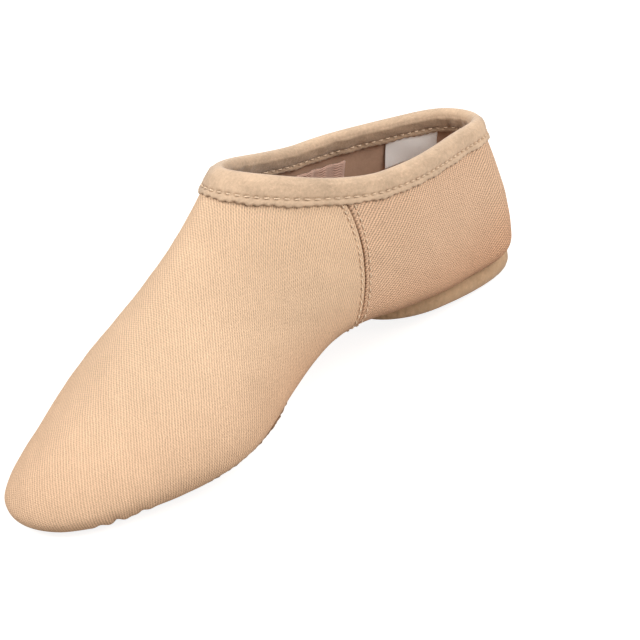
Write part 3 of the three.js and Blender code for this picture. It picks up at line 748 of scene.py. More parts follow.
def heel_cup_rings(angle, wrinkle):
    """The heel cover's profile from the middle of its inner face over the wall's edge to the middle of its
    base. Each step is (inset, share of the plan, share of the wall's height, extra height)."""
    steps = [
        (1.35, 0.15, 0, 1.2), (1.35, 0.4, 0, 1.2), (1.35, 0.7, 0, 1.2), (1.35, 0.93, 0, 1.2),
        (1.3, 1, 0, 1.5), (1.25, 1, 0.5, 0), (1.3, 1, 1.0, -1.3), (1.8, 1, 1.0, -1.0), (4.0, 1, 1.0, -0.9),
        (6.5, 1, 1.0, -0.9), (6.6, 1, 1.0, -0.5), (6.5, 1, 1.0, -0.1), (4.5, 1, 1.0, 0), (2.8, 1, 1.0, 0.05),
        (1.6, 1, 1.0, 0.12), (0.9, 1, 1.0, 0.1), (0.45, 1, 1.0, -0.05), (0.15, 1, 0.95, 0),
        (-0.05, 1, 0.88, 0), (-0.3, 1, 0.76, 0), (-0.45, 1, 0.6, 0), (-0.5, 1, 0.46, 0), (-0.45, 1, 0.34, 0),
        (-0.3, 1, 0.24, 0), (-0.05, 1, 0.15, 0), (0.3, 1, 0.08, 0), (0.8, 1, 0.03, 0), (1.4, 1, 0, 0),
        (1.4, 0.93, 0, 0), (1.4, 0.8, 0, 0), (1.4, 0.6, 0, 0), (1.4, 0.4, 0, 0), (1.4, 0.15, 0, 0),
    ]
    inset, share, rise, extra = np.array(steps).T[:, :, None]
    x, y = pad_outline(HEEL_PAD, angle[None], inset)
    crumple = wrinkle * np.clip(rise * 4, 0, 1) * np.clip(4 - rise * 4, 0, 1)
    phase = angle[None]
    crumple = crumple * (np.sin(37 * phase + 3 * rise) + 0.6 * np.sin(61 * phase - 5 * rise + 1))
    away = np.hypot(x - HEEL_PAD_MIDDLE, y)
    factor = share * (1 + crumple / away)
    px = HEEL_PAD_MIDDLE + (x - HEEL_PAD_MIDDLE) * factor
    py = y * factor
    top = pad_top(px, py)
    return np.stack([px, py, rise * top + extra], -1)


# ---- materials -----------------------------------------------------------------------------------------

def feed(tree, socket, value):
    """An output linked to a socket, or a value set on it, where a bare colour gets full alpha."""
    if isinstance(value, bpy.types.NodeSocket):
        tree.links.new(value, socket)
    elif socket.type == "RGBA" and len(value) == 3:
        socket.default_value = (*value, 1)
    else:
        socket.default_value = value


def node(tree, kind, inputs=None, **settings):
    """A node with its settings, and inputs that are set to values or linked to outputs."""
    made = tree.nodes.new(kind)
    for key, value in settings.items():
        setattr(made, key, value)
    for key, value in (inputs or {}).items():
        feed(tree, made.inputs[key], value)
    return made


def maths(tree, operation, a, b=0.0, c=0.0):
    """The output of a Math node."""
    return node(tree, "ShaderNodeMath", {0: a, 1: b, 2: c}, operation=operation).outputs[0]


def remap(tree, value, low, high, to_low, to_high, steps=False):
    """The output of a clamped Map Range node."""
    kind = "SMOOTHSTEP" if steps else "LINEAR"
    inputs = {"Value": value, "From Min": low, "From Max": high, "To Min": to_low, "To Max": to_high}
    return node(tree, "ShaderNodeMapRange", inputs, interpolation_type=kind).outputs[0]


def noise(tree, vector, scale, detail=2.0, rough=0.5):
    """The height of a Noise Texture."""
    inputs = {"Vector": vector, "Scale": scale, "Detail": detail, "Roughness": rough}
    return node(tree, "ShaderNodeTexNoise", inputs).outputs["Fac"]


def shade(tree, colour, value):
    """A colour times a grey value."""
    grey = node(tree, "ShaderNodeCombineColor", {0: value, 1: value, 2: value}).outputs[0]
    inputs = {0: 1.0, 6: colour, 7: grey}
    return node(tree, "ShaderNodeMix", inputs, data_type="RGBA", blend_type="MULTIPLY").outputs[2]


def blend_colours(tree, mask, a, b):
    """Colour a where the mask is 0 and colour b where it is 1."""
    return node(tree, "ShaderNodeMix", {0: mask, 6: a, 7: b}, data_type="RGBA").outputs[2]


def new_group(name, inputs, outputs):
    """A shader node group with vector or value inputs and outputs."""
    group = bpy.data.node_groups.new(name, "ShaderNodeTree")
    for key, default in inputs:
        kind = "NodeSocketVector" if default is None else "NodeSocketFloat"
        socket = group.interface.new_socket(name=key, in_out="INPUT", socket_type=kind)
        if default is not None:
            socket.default_value = default
    for key in outputs:
        group.interface.new_socket(name=key, in_out="OUTPUT", socket_type="NodeSocketFloat")
    return group, group.nodes.new("NodeGroupInput"), group.nodes.new("NodeGroupOutput")


def twill_group():
    """Twill: slanted wales, each a rounded rib of the given pitch, cut across by finer yarns, both bent a
    little by noise. Height is 0 to 1, and Shade is a grey round 1."""
    made = bpy.data.node_groups.get("twill_weave")
    if made:
        return made
    inputs = [("Vector", None), ("Pitch", 0.12), ("Slant", 1.0), ("Contrast", 1.0)]
    group, start, end = new_group("twill_weave", inputs, ["Height", "Shade"])
    vector = start.outputs["Vector"]
    split = node(group, "ShaderNodeSeparateXYZ", {0: vector})
    x, y = split.outputs[0], split.outputs[1]
    cosine = maths(group, "COSINE", start.outputs["Slant"])
    sine = maths(group, "SINE", start.outputs["Slant"])
    across = maths(group, "MULTIPLY_ADD", x, cosine, maths(group, "MULTIPLY", y, sine))
    along = maths(group, "SUBTRACT", maths(group, "MULTIPLY", y, cosine), maths(group, "MULTIPLY", x, sine))
    bend = maths(group, "MULTIPLY", noise(group, vector, 2.2, 3.0), 5.0)
    turn = maths(group, "DIVIDE", 2 * math.pi, start.outputs["Pitch"])
    wale = maths(group, "SINE", maths(group, "MULTIPLY_ADD", across, turn, bend))
    skew = maths(group, "MULTIPLY_ADD", across, 0.8, along)
    yarn = maths(group, "SINE", maths(group, "MULTIPLY_ADD", skew, maths(group, "MULTIPLY", turn, 1.2), bend))
    fleck = noise(group, vector, 17.0, 3.0, 0.75)
    rib = remap(group, wale, -0.9, 0.5, 0, 1, True)
    knot = remap(group, yarn, -0.9, 0.6, 0, 1, True)
    both = maths(group, "MULTIPLY_ADD", knot, 0.32, maths(group, "MULTIPLY", rib, 0.68))
    height = maths(group, "MULTIPLY_ADD", fleck, 1.1, both)
    group.links.new(height, end.inputs["Height"])
    tone = maths(group, "MULTIPLY_ADD", fleck, 0.80, maths(group, "MULTIPLY_ADD", both, 0.36, -0.61))
    group.links.new(maths(group, "MULTIPLY_ADD", tone, start.outputs["Contrast"], 1.0), end.inputs["Shade"])
    return group


def nap_group():
    """Brushed fibres: three sizes of noise. Height is 0 to 1, Shade a grey round 1, and Fleck marks the
    few lightest fibres."""
    made = bpy.data.node_groups.get("fibre_nap")
    if made:
        return made
    inputs = [("Vector", None), ("Scale", 600.0), ("Contrast", 0.3)]
    group, start, end = new_group("fibre_nap", inputs, ["Height", "Shade", "Fleck"])
    vector = start.outputs["Vector"]
    scale = start.outputs["Scale"]
    fine = noise(group, vector, scale, 4.0, 0.75)
    stretched = {0: vector, "Rotation": (0.3, 0.5, 0.8), "Scale": (1.0, 3.4, 1.0)}
    streak_at = node(group, "ShaderNodeMapping", stretched).outputs[0]
    streak = noise(group, streak_at, maths(group, "MULTIPLY", scale, 0.55), 3.0, 0.65)
    broad = noise(group, vector, maths(group, "MULTIPLY", scale, 0.09), 3.0, 0.55)
    mixed = maths(group, "MULTIPLY_ADD", streak, 0.5, maths(group, "MULTIPLY", fine, 0.5))
    group.links.new(mixed, end.inputs["Height"])
    spread = maths(group, "MULTIPLY_ADD", broad, 0.8, maths(group, "MULTIPLY", mixed, 1.2))
    centred = maths(group, "SUBTRACT", spread, 1.0)
    grey = maths(group, "MULTIPLY_ADD", centred, start.outputs["Contrast"], 1.0)
    group.links.new(grey, end.inputs["Shade"])
    group.links.new(remap(group, fine, 0.6, 0.72, 0, 1), end.inputs["Fleck"])
    return group


def tone_group():
    """Uneven dye and handling marks: broad noise as a grey round 1, darker close to the floor."""
    made = bpy.data.node_groups.get("uneven_tone")
    if made:
        return made
    inputs = [("Vector", None), ("Amount", 0.1), ("Floor darkening", 0.1)]
    group, start, end = new_group("uneven_tone", inputs, ["Shade"])
    vector = start.outputs["Vector"]
    cloud = maths(group, "SUBTRACT", noise(group, vector, 38.0, 4.0, 0.55), 0.5)
    spots = remap(group, noise(group, vector, 120.0, 3.0, 0.6), 0.62, 0.78, 0, -0.35)
    base = maths(group, "MULTIPLY_ADD", maths(group, "ADD", cloud, spots), start.outputs["Amount"], 1.0)
    # Darker close to the floor, by the amount given.
    z = node(group, "ShaderNodeSeparateXYZ", {0: vector}).outputs[2]
    low = remap(group, z, 0.0, 0.016, 1, 0, True)
    floor_darkening = maths(group, "MULTIPLY", low, start.outputs["Floor darkening"])
    group.links.new(maths(group, "SUBTRACT", base, floor_darkening), end.inputs["Shade"])
    return group


def new_material(name, roughness, sheen, sheen_tint=(1, 1, 1, 1)):
    """A material with a Principled shader, whose plain values are set on its own sockets."""
    material = bpy.data.materials.new(name)
    material.use_nodes = True
    tree = material.node_tree
    tree.nodes.clear()
    shader = node(tree, "ShaderNodeBsdfPrincipled", {
        "Roughness": roughness, "Sheen Weight": sheen, "Sheen Roughness": 0.45, "Sheen Tint": sheen_tint,
        "Specular IOR Level": 0.15})
    node(tree, "ShaderNodeOutputMaterial", {"Surface": shader.outputs[0]})
    return material, tree, shader, node(tree, "ShaderNodeTexCoord")


def placed(tree, group, inputs):
    """A node group in a material, with its inputs set or linked."""
    return node(tree, "ShaderNodeGroup", inputs, node_tree=group)


def bumped(tree, shader, height, distance, strength=1.0):
    """Relief from a height, with its distance in metres."""
    bump = node(tree, "ShaderNodeBump", {"Height": height, "Distance": distance, "Strength": strength})
    tree.links.new(bump.outputs[0], shader.inputs["Normal"])


def mask_of(tree, name):
    """A named value stored on the mesh."""
    return node(tree, "ShaderNodeAttribute", attribute_name=name).outputs["Fac"]


def canvas_material(name, settings, colour, slant, contrast):
    """Stretch cotton twill: weave from the cloth's flat place, painted shade in seams and creases, and a warm
    painted shade close to the sole, less so in front of the ball."""
    made = bpy.data.materials.get(name)
    if made:
        return made
    material, tree, shader, at = new_material(name, 0.88, 0.12, (1.0, 0.88, 0.75, 1))
    pitch = settings.wale_pitch * 100
    weave = placed(tree, twill_group(), {
        "Vector": at.outputs["UV"], "Pitch": pitch, "Slant": slant, "Contrast": contrast})
    tone = placed(tree, tone_group(), {"Vector": at.outputs["Object"], "Amount": 0.16, "Floor darkening": 0.10})
    fuzz = placed(tree, nap_group(), {"Vector": at.outputs["Object"], "Scale": 1500.0, "Contrast": 0.10})
    crease = mask_of(tree, "crease")
    place = node(tree, "ShaderNodeSeparateXYZ", {0: at.outputs["Object"]})
    # Painted shade: warmer and darker low on the canvas, close to the sole, less so in front of the ball.
    low = remap(tree, place.outputs[2], 0.010, 0.046, settings.low_shade_share, 0, True)
    behind_ball = remap(tree, place.outputs[0], 0.0, 0.06, 1, 0.3, True)
    low_shade = maths(tree, "MULTIPLY", low, behind_ball)
    colour = blend_colours(tree, low_shade, colour, settings.low_shade_colour)
    # Painted shade in seams, stitch grooves and gathers, from the crease mask.
    dark = remap(tree, crease, 0.05, 0.95, 0, 0.9)
    colour = blend_colours(tree, dark, colour, settings.seam_shade_colour)
    colour = shade(tree, colour, weave.outputs["Shade"])
    colour = shade(tree, colour, tone.outputs["Shade"])
    colour = shade(tree, colour, fuzz.outputs["Shade"])
    tree.links.new(colour, shader.inputs["Base Color"])
    height = maths(tree, "MULTIPLY_ADD", fuzz.outputs["Height"], 0.4, weave.outputs["Height"])
    bumped(tree, shader, height, settings.weave_depth)
    return material


def nap_material(name, colour, painted_shade_colour, scale, depth, contrast, roughness, sheen):
    """Felt, suede or brushed cloth: fibres on Object coordinates, with painted shade in a second colour
    in the creases.
    """
    made = bpy.data.materials.get(name)
    if made:
        return made
    material, tree, shader, at = new_material(name, roughness, sheen, (1.0, 0.92, 0.84, 1))
    nap = placed(tree, nap_group(), {"Vector": at.outputs["Object"], "Scale": scale, "Contrast": contrast})
    tone = placed(tree, tone_group(), {"Vector": at.outputs["Object"], "Amount": 0.22, "Floor darkening": 0.05})
    # Painted shade: the second colour, wherever the crease mask is set.
    crease = mask_of(tree, "crease")
    base = blend_colours(tree, remap(tree, crease, 0.05, 0.95, 0, 0.85), colour, painted_shade_colour)
    light = tuple(min(1.0, 1.35 * c) for c in colour)
    base = blend_colours(tree, maths(tree, "MULTIPLY", nap.outputs["Fleck"], 0.22), base, light)
    base = shade(tree, base, nap.outputs["Shade"])
    base = shade(tree, base, tone.outputs["Shade"])
    tree.links.new(base, shader.inputs["Base Color"])
    bumped(tree, shader, nap.outputs["Height"], depth)
    return material


def foam_material(inside):
    """The open foam of the three cushions."""
    return nap_material("open_foam", inside.foam_colour, inside.sock_colour,
                        scale=1800.0, depth=0.0002, contrast=0.2, roughness=1.0, sheen=0.0)


def thread_material(name, colour):
    """Twisted cotton thread: fine slanted bands on Object coordinates."""
    made = bpy.data.materials.get(name)
    if made:
        return made
    material, tree, shader, at = new_material(name, 0.7, 0.25)
    turned_at = node(tree, "ShaderNodeMapping", {0: at.outputs["Object"], "Rotation": (0.6, 0.7, 0.4)})
    ply = node(tree, "ShaderNodeTexWave", {"Vector": turned_at.outputs[0], "Scale": 900.0, "Distortion": 1.5})
    fuzz = placed(tree, nap_group(), {"Vector": at.outputs["Object"], "Scale": 2200.0, "Contrast": 0.25})
    grey = remap(tree, ply.outputs["Fac"], 0, 1, 0.8, 1.08)
    base = shade(tree, shade(tree, colour, grey), fuzz.outputs["Shade"])
    tree.links.new(base, shader.inputs["Base Color"])
    bumped(tree, shader, ply.outputs["Fac"], 0.00008)
    return material


def elastic_material(name, colour):
    """Ribbed elastic: narrow cords along the band, with soft tension marks across it."""
    made = bpy.data.materials.get(name)
    if made:
        return made
    material, tree, shader, at = new_material(name, 0.75, 0.2)
    split = node(tree, "ShaderNodeSeparateXYZ", {0: at.outputs["UV"]})
    cords = maths(tree, "SINE", maths(tree, "MULTIPLY", split.outputs[1], 2 * math.pi / 0.075))
    ribs = maths(tree, "SINE", maths(tree, "MULTIPLY", split.outputs[0], 2 * math.pi / 0.31))
    height = maths(tree, "MULTIPLY_ADD", ribs, 0.35, cords)
    tone = placed(tree, tone_group(), {"Vector": at.outputs["Object"], "Amount": 0.2, "Floor darkening": 0.0})
    base = shade(tree, colour, remap(tree, height, -1.3, 1.3, 0.82, 1.06))
    tree.links.new(shade(tree, base, tone.outputs["Shade"]), shader.inputs["Base Color"])
    bumped(tree, shader, height, 0.00012)
    return material


# ---- sizes and colours that may be changed -------------------------------------------------------------

def colour_property(name, description, default):
    """A colour in linear red, green and blue."""
    return FloatVectorProperty(name=name, description=description, default=default, subtype="COLOR",
                               min=0, max=1)


def length_property(name, description, default):
    """A length in metres."""
    return FloatProperty(name=name, description=description, default=default, unit="LENGTH", min=0,
                         precision=5)


def angle_property(name, description, default):
    """An angle in radians."""
    return FloatProperty(name=name, description=description, default=default, subtype="ANGLE")


def power_property(name, description, default):
    """A light's power in watts."""
    return FloatProperty(name=name, description=description, default=default, unit="POWER", min=0)


def plain_property(name, description, default, largest=100.0):
    """A number from 0 up."""
    return FloatProperty(name=name, description=description, default=default, min=0, max=largest)


class SlipperCloth(bpy.types.PropertyGroup):
    """The canvas and the lining"""
    # One canvas: the vamp's colour is painted lighter as light on its bulge, the quarter's darker as shade in
    # its hollow.
    colour: colour_property("Vamp lit colour", "Colour of the vamp's stretch canvas", (0.80, 0.556, 0.372))
    quarter_shaded_colour: colour_property(
        "Quarter shaded colour", "Colour of the quarter's canvas", (0.735, 0.486, 0.326))
    # Painted shade low on the canvas near the sole, and how much of it shows.
    low_shade_colour: colour_property(
        "Low shade colour", "Colour of painted shade low on the canvas", (0.59, 0.28, 0.145))
    low_shade_share: plain_property("Low shade share", "How much of it shows at the sole", 0.6, 1)
    # Painted shade deep in seams and gathers.
    seam_shade_colour: colour_property("Seam shade colour", "Colour deep in seams and gathers", (0.25, 0.12, 0.06))
    lining_colour: colour_property("Lining colour", "Colour of the brushed lining", (0.49, 0.315, 0.22))
    wale_pitch: length_property("Wale pitch", "Distance between the ribs of the twill", 0.00106)
    weave_depth: length_property("Weave depth", "Height of the ribs", 0.00026)
    wale_slant: angle_property("Wale slant", "Direction of the vamp's ribs", -0.78)
    quarter_slant: angle_property("Quarter slant", "Direction of the quarter's ribs", 0.83)
    wale_contrast: plain_property("Wale contrast", "How much the vamp's ribs show in its colour", 1.0, 3)
    quarter_contrast: plain_property("Quarter contrast", "The same for the quarter", 1.7, 3)
    unevenness: length_property("Unevenness", "Depth of soft dents in the upper", 0.00032)
    pleat_depth: plain_property("Gather depth", "Scale of the gathers under the toe", 1.0, 1.5)


class SlipperBinding(bpy.types.PropertyGroup):
    """The binding round the opening"""
    colour: colour_property("Binding colour", "Colour of the felted binding", (0.605, 0.435, 0.30))
    # Painted shade in the stitch groove, under the lip and on the inner side.
    painted_shade_colour: colour_property("Groove shade colour", "Colour in the stitch groove", (0.24, 0.145, 0.085))
    padding: length_property("Padding", "How far the binding swells", 0.0004)


class SlipperSole(bpy.types.PropertyGroup):
    """The forefoot patch and the heel pad"""
    suede_colour: colour_property("Suede colour", "Colour of the forefoot patch", (0.40, 0.235, 0.135))
    # Darker cut edge, and painted shade in the grooves and on the back face.
    suede_edge_and_shade: colour_property(
        "Suede edge and shade colour", "Colour of its cut edge and grooves", (0.16, 0.085, 0.045))
    heel_colour: colour_property("Heel colour", "Colour of the heel pad's cover", (0.56, 0.37, 0.225))
    # Painted shade along the cover's top rim, where it turns in under the canvas.
    heel_shade_colour: colour_property("Heel shade colour", "Painted shade along the cover's top rim", (0.20, 0.13, 0.08))
    wrinkle: length_property("Wrinkle", "Depth of the creases in the heel cover's wall", 0.00012)


class SlipperInside(bpy.types.PropertyGroup):
    """The pieces inside the slipper"""
    foam_colour: colour_property("Foam colour", "Colour of the cushions", (0.70, 0.65, 0.56))
    sock_colour: colour_property("Sock colour", "Colour of the insole covers", (0.46, 0.31, 0.21))
    elastic_colour: colour_property("Elastic colour", "Colour of the arch band", (0.76, 0.49, 0.385))
    tag_colour: colour_property("Tag colour", "Colour of the blank size tag", (0.95, 0.94, 0.92))


class SlipperThread(bpy.types.PropertyGroup):
    """The stitches"""
    colour: colour_property("Thread colour", "Colour of the topstitching", (0.86, 0.65, 0.46))
    seam_pitch: length_property("Seam pitch", "Stitch length on the seams", 0.0026)
    binding_pitch: length_property("Binding pitch", "Stitch length on the binding", 0.0031)
    patch_pitch: length_property("Patch pitch", "Stitch length on the patch", 0.0036)
    radius: length_property("Thread radius", "Radius of a stitch", 0.00026)


class SlipperStage(bpy.types.PropertyGroup):
    """The floor, the lights and the camera"""
    lens: FloatProperty(name="Lens", description="Focal length", default=137.69, unit="CAMERA", min=1)
    distance: length_property("Distance", "From the camera to what it looks at", 0.88875)
    azimuth: angle_property("Azimuth", "Side the camera stands on", 0.89748)
    elevation: angle_property("Elevation", "Height of the camera", 0.49464)
    roll: angle_property("Roll", "Turn about the line of sight", -0.15373)
    floor_colour: colour_property("Floor colour", "Colour of the floor", (0.40, 0.36, 0.32))
    floor_glow: plain_property("Floor glow", "Brightness added to the floor", 0.86)
    key_power: power_property("Key power", "Power of the light in front of the toe", 10.5)
    fill_power: power_property("Fill power", "Power of the broad light on the left", 15.5)
    side_power: power_property("Side power", "Power of the light behind the heel", 4.0)
    room_light: plain_property("Room light", "Strength of the light all round", 0.46)


# ---- operators -----------------------------------------------------------------------------------------

class SLIPPER_OT_upper(bpy.types.Operator):
    """Canvas vamp and quarter: curved sheets with a folded seam, a centre seam and gathers"""
    bl_idname = "slipper.upper"
    bl_label = "Canvas upper"

    def execute(self, context):
        cloth = context.scene.slipper_cloth
        pitch = context.scene.slipper_thread.seam_pitch * 1000
        rows = cloth_rows(54, 50)
        vamp = upper_piece("vamp_cloth", *vamp_places(52, 38, 84, rows), 1, cloth, pitch)
        quarter = upper_piece("quarter_cloth", *quarter_places(100, rows), -1, cloth, pitch)
        # One canvas: the vamp's colour is painted lighter as light on its bulge, the quarter's darker as
        # shade in its hollow.
        halves = ((vamp, "vamp_canvas", cloth.colour, cloth.wale_slant, cloth.wale_contrast),
                  (quarter, "quarter_canvas", cloth.quarter_shaded_colour, cloth.quarter_slant,
                   cloth.quarter_contrast))
        for piece, node_name, *look in halves:
            thicken(piece, CANVAS_WALL)
            dress(piece, canvas_material(node_name + "_twill", cloth, *look), [node_name])
            flex(piece)
        return {"FINISHED"}


class SLIPPER_OT_lining(bpy.types.Operator):
    """Brushed linings inside the vamp and the quarter"""
    bl_idname = "slipper.lining"
    bl_label = "Lining"

    def execute(self, context):
        cloth = context.scene.slipper_cloth
        rows = cloth_rows(16, 30)
        material = nap_material("brushed_lining", cloth.lining_colour, cloth.seam_shade_colour,
                                scale=900.0, depth=0.00012, contrast=0.3, roughness=0.95, sheen=0.3)
        places = {"vamp": (*vamp_places(20, 20, 30, rows), 1), "quarter": (*quarter_places(60, rows), -1)}
        for half, (tau, v, side) in places.items():
            piece = upper_piece(half + "_inner_cloth", tau, v, side, cloth, 0, LINING_HEIGHT, False)
            thicken(piece, LINING_WALL)
            dress(piece, material, [half + "_lining"])
            flex(piece)
        return {"FINISHED"}


class SLIPPER_OT_binding(bpy.types.Operator):
    """Padded binding folded over the topline, with a stitch groove and an uneven lip"""
    bl_idname = "slipper.binding"
    bl_label = "Topline binding"

    def execute(self, context):
        settings = context.scene.slipper_binding
        pitch = context.scene.slipper_thread.binding_pitch * 1000
        per_side = 210
        stations = rim_stations(per_side)
        line, _ = rim_line(per_side, STITCH_DEPTH, BINDING_FACE)
        length, total = closed_lengths(line)
        pitch = total / round(total / pitch)
        way = length[:per_side + 1, None]

        # The section from the outer lip over the roll to the inner lip: depth s and height h.
        s_out = np.linspace(BINDING_WIDTH, BINDING_ROLL, 24)[1:]
        roll = np.linspace(0, math.pi, 15)[1:-1]
        s_in = np.linspace(BINDING_ROLL, BINDING_WIDTH, 18)[:-1]
        middle = (BINDING_FACE + BINDING_BACK) / 2
        half = (BINDING_FACE - BINDING_BACK) / 2
        lip_s = BINDING_WIDTH + np.array([-0.05, 0.1, -0.02])
        s = np.concatenate([lip_s, s_out, BINDING_ROLL * (1 - np.sin(roll)), s_in, lip_s[::-1],
                            [1.9, 1.7, 1.9]])
        h = np.concatenate([[0.12, 0.55, 1.0], np.full(len(s_out), BINDING_FACE),
                            middle + half * np.cos(roll), np.full(len(s_in), BINDING_BACK),
                            [-3.2, -2.9, -2.6], [-2.5, -1.2, 0.12]])
        outer = np.zeros(len(s))
        outer[:3 + len(s_out)] = 1
        inner = np.zeros(len(s))
        inner[3 + len(s_out) + len(roll):-3] = 1

        # Its relief: padding - stitch groove - puckers inside, and a lip that waves with the stitches.
        swell = settings.padding * 1000 * np.sin(math.pi * np.clip(s / STITCH_DEPTH, 0, 1))
        swell = np.where(s > STITCH_DEPTH, 0.15 * np.sin(math.pi * (s - STITCH_DEPTH) / 2.3), swell)
        dent = 0.6 * stitch_dent(s[None] - STITCH_DEPTH, way, pitch, 0.6)
        scallop = 0.24 * np.cos(2 * math.pi * way / pitch)
        wave = 0.20 * np.sin(way / 1.9 + 2 * np.sin(way / 11)) + scallop
        edge = smoothstep((s[None] - 8.3) / 1.2)
        depth = s[None] + edge * wave * (outer + inner)
        gathered = smoothstep(np.sin(way / 9.0 + 1) * 2)
        pucker = inner * 0.22 * np.sin(way / 1.6 + 1.5 * np.sin(way / 17)) * gathered
        uneven = 0.08 * np.sin(way / 2.3 + s[None])
        height = h[None] + (outer - inner) * (swell[None] - dent - pucker + uneven)
        points, _ = below_rim(stations, depth, height)

        # Painted shade: dark in the stitch grooves, along the outer lip where it meets the canvas, and half
        # dark over the inner side.
        dark = np.clip(1.1 * dent * (outer + inner), 0, 1)
        dark = np.maximum(dark, (np.abs(h) < 0.6) * (s > 9) * 0.8)
        dark = np.maximum(dark, 0.5 * inner)
        dark = np.concatenate([dark, dark[1:-1][::-1]])
        grid = round_the_rim(points)
        piece = new_piece("topline_felt", grid, grid_quads(*grid.shape[:2], True, True),
                          masks={"crease": dark})
        material = nap_material("felted_binding", settings.colour, settings.painted_shade_colour,
                                scale=950.0, depth=0.00034, contrast=0.75, roughness=0.96, sheen=0.45)
        dress(piece, material, ["topline_binding"])
        flex(piece)
        return {"FINISHED"}


class SLIPPER_OT_patch(bpy.types.Operator):
    """Suede forefoot patch: a polar sheet with two stitch grooves and a frayed edge"""
    bl_idname = "slipper.patch"
    bl_label = "Forefoot patch"

    def execute(self, context):
        settings = context.scene.slipper_sole
        pitch = context.scene.slipper_thread.patch_pitch * 1000
        angle = turn_angles(420)
        inset = np.concatenate([np.linspace(33, 10, 16)[:-1], np.linspace(10, 0.8, 40), [0.4, 0.12, 0]])
        dent = np.zeros((len(inset), len(angle)))
        for row in PATCH_ROWS:
            x, y = patch_outline(angle, row)
            length, total = closed_lengths(np.stack([x, y, 0 * x], -1))
            step = total / round(total / pitch)
            dent += 0.62 * stitch_dent(inset[:, None] - row, length[None], step, 0.6)
        fray = 0.22 * np.sin(61 * angle) + 0.18 * np.sin(97 * angle + 1) + 0.12 * np.sin(173 * angle + 2)
        fray = fray[None] * smoothstep((1.6 - inset[:, None]) / 1.4)
        rounding = np.clip(1 - inset[:, None] / 1.2, 0, 1) ** 2 * 0.6
        face = PATCH_FACE - dent + 0.07 * np.sin(23 * angle[None] + inset[:, None]) - rounding
        x, y = patch_outline(angle[None], inset[:, None] + fray)
        top, _ = underside_point(x, y, face)
        x, y = patch_outline(angle[None], np.array([[0.0], [1.0], [12.0], [30.0]]) + fray[-1:])
        back_height = np.array([[2 * PATCH_BACK], [PATCH_BACK], [PATCH_BACK], [PATCH_BACK]])
        back, _ = underside_point(x, y, back_height + 0 * x)
        centre = np.array([PATCH_X])
        first, _ = underside_point(centre, np.zeros(1), np.array([PATCH_FACE]))
        last, _ = underside_point(centre, np.zeros(1), np.array([PATCH_BACK]))
        grid = capped(np.concatenate([top, back]), first[0], last[0])
        # Painted shade in the stitch grooves and on the back face; also darker over the rounded cut edge.
        dark = np.concatenate([np.zeros((1, len(angle))), np.clip(dent * 1.4 + rounding * 1.1, 0, 1),
                               np.full((5, len(angle)), 0.8)])
        piece = new_piece("forefoot_suede", grid, grid_quads(*grid.shape[:2], wrap_columns=True),
                          masks={"crease": dark})
        material = nap_material("split_suede", settings.suede_colour, settings.suede_edge_and_shade,
                                scale=650.0, depth=0.00055, contrast=0.95, roughness=0.95, sheen=0.3)
        dress(piece, material, ["forefoot_patch"])
        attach(piece, "forefoot")
        return {"FINISHED"}


class SLIPPER_OT_heel_pad(bpy.types.Operator):
    """Suede-covered heel pad: a cup with a creased wall, and the foam lift inside it"""
    bl_idname = "slipper.heel_pad"
    bl_label = "Heel pad"

    def execute(self, context):
        settings = context.scene.slipper_sole
        rings = heel_cup_rings(turn_angles(260), settings.wrinkle * 1000)
        top = np.array([HEEL_PAD_MIDDLE, 0, HEEL_PAD_SKIN])
        grid = capped(rings, top, np.array([HEEL_PAD_MIDDLE, 0, 0.0]))
        # Painted shade along the cover's top rim, where it turns in under the canvas.
        dark = np.zeros(grid.shape[:2])
        dark[12:16] = 0.8
        dark[16] = 0.4
        cover = new_piece("heel_suede", grid, grid_quads(*grid.shape[:2], wrap_columns=True),
                          masks={"crease": dark})
        material = nap_material("heel_pad_suede", settings.heel_colour, settings.heel_shade_colour,
                                scale=750.0, depth=0.0003, contrast=0.6, roughness=0.92, sheen=0.25)
        dress(cover, material, ["heel_cover"])
        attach(cover, "heel")
        self.lift(context.scene.slipper_inside)
        return {"FINISHED"}

    def lift(self, inside):
        """The foam: a polar grid over its top, edge and base, lower where the cover turns over it."""
        share = np.concatenate([np.linspace(0.1, 0.96, 12), [0.99, 1, 1, 1, 0.99], np.linspace(0.94, 0.1, 8)])
        rise = np.concatenate([np.ones(12), [0.93, 0.75, 0.45, 0.15, 0.04], np.zeros(8)])[:, None]
        x, y = pad_outline(HEEL_PAD, turn_angles(96)[None], 1.7)
        px = HEEL_PAD_MIDDLE + (x - HEEL_PAD_MIDDLE) * share[:, None]
        py = y * share[:, None]
        base = HEEL_PAD_SKIN + 0.3
        under_rim = smoothstep((share[:, None] - 0.62) / 0.1)
        high = pad_top(px, py) - 0.15 - 1.1 * under_rim
        grid = np.stack([px, py, base + (high - base) * rise], -1)
        peak = float(pad_top(np.array([HEEL_PAD_MIDDLE]), np.zeros(1))[0]) - 0.15
        grid = capped(grid, np.array([HEEL_PAD_MIDDLE, 0, peak]), np.array([HEEL_PAD_MIDDLE, 0, base]))
        foam = new_piece("heel_foam", grid, grid_quads(*grid.shape[:2], wrap_columns=True),
                         masks={"crease": np.zeros(grid.shape[:2])})
        dress(foam, foam_material(inside), ["heel_lift"])
        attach(foam, "heel")


class SLIPPER_OT_insoles(bpy.types.Operator):
    """Foam cushions under the ball and the heel, each with its brushed sock"""
    bl_idname = "slipper.insoles"
    bl_label = "Insoles"

    def execute(self, context):
        inside = context.scene.slipper_inside
        sock = nap_material("brushed_sock", inside.sock_colour, inside.sock_colour,
                            scale=900.0, depth=0.00015, contrast=0.3, roughness=0.95, sheen=0.3)
        for body, pad in (("forefoot", BALL_PAD), ("heel", HEEL_SEAT)):
            cushion = following_pad(body + "_foam_pad", pad, *CUSHION_HEIGHTS, 0.35, 96, 18)
            dress(cushion, foam_material(inside), [body + "_cushion"])
            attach(cushion, body)
            cover = following_pad(body + "_sock_cloth", pad, *SOCK_HEIGHTS, 0.1, 96, 18)
            dress(cover, sock, [body + "_sock"])
            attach(cover, body)
        return {"FINISHED"}


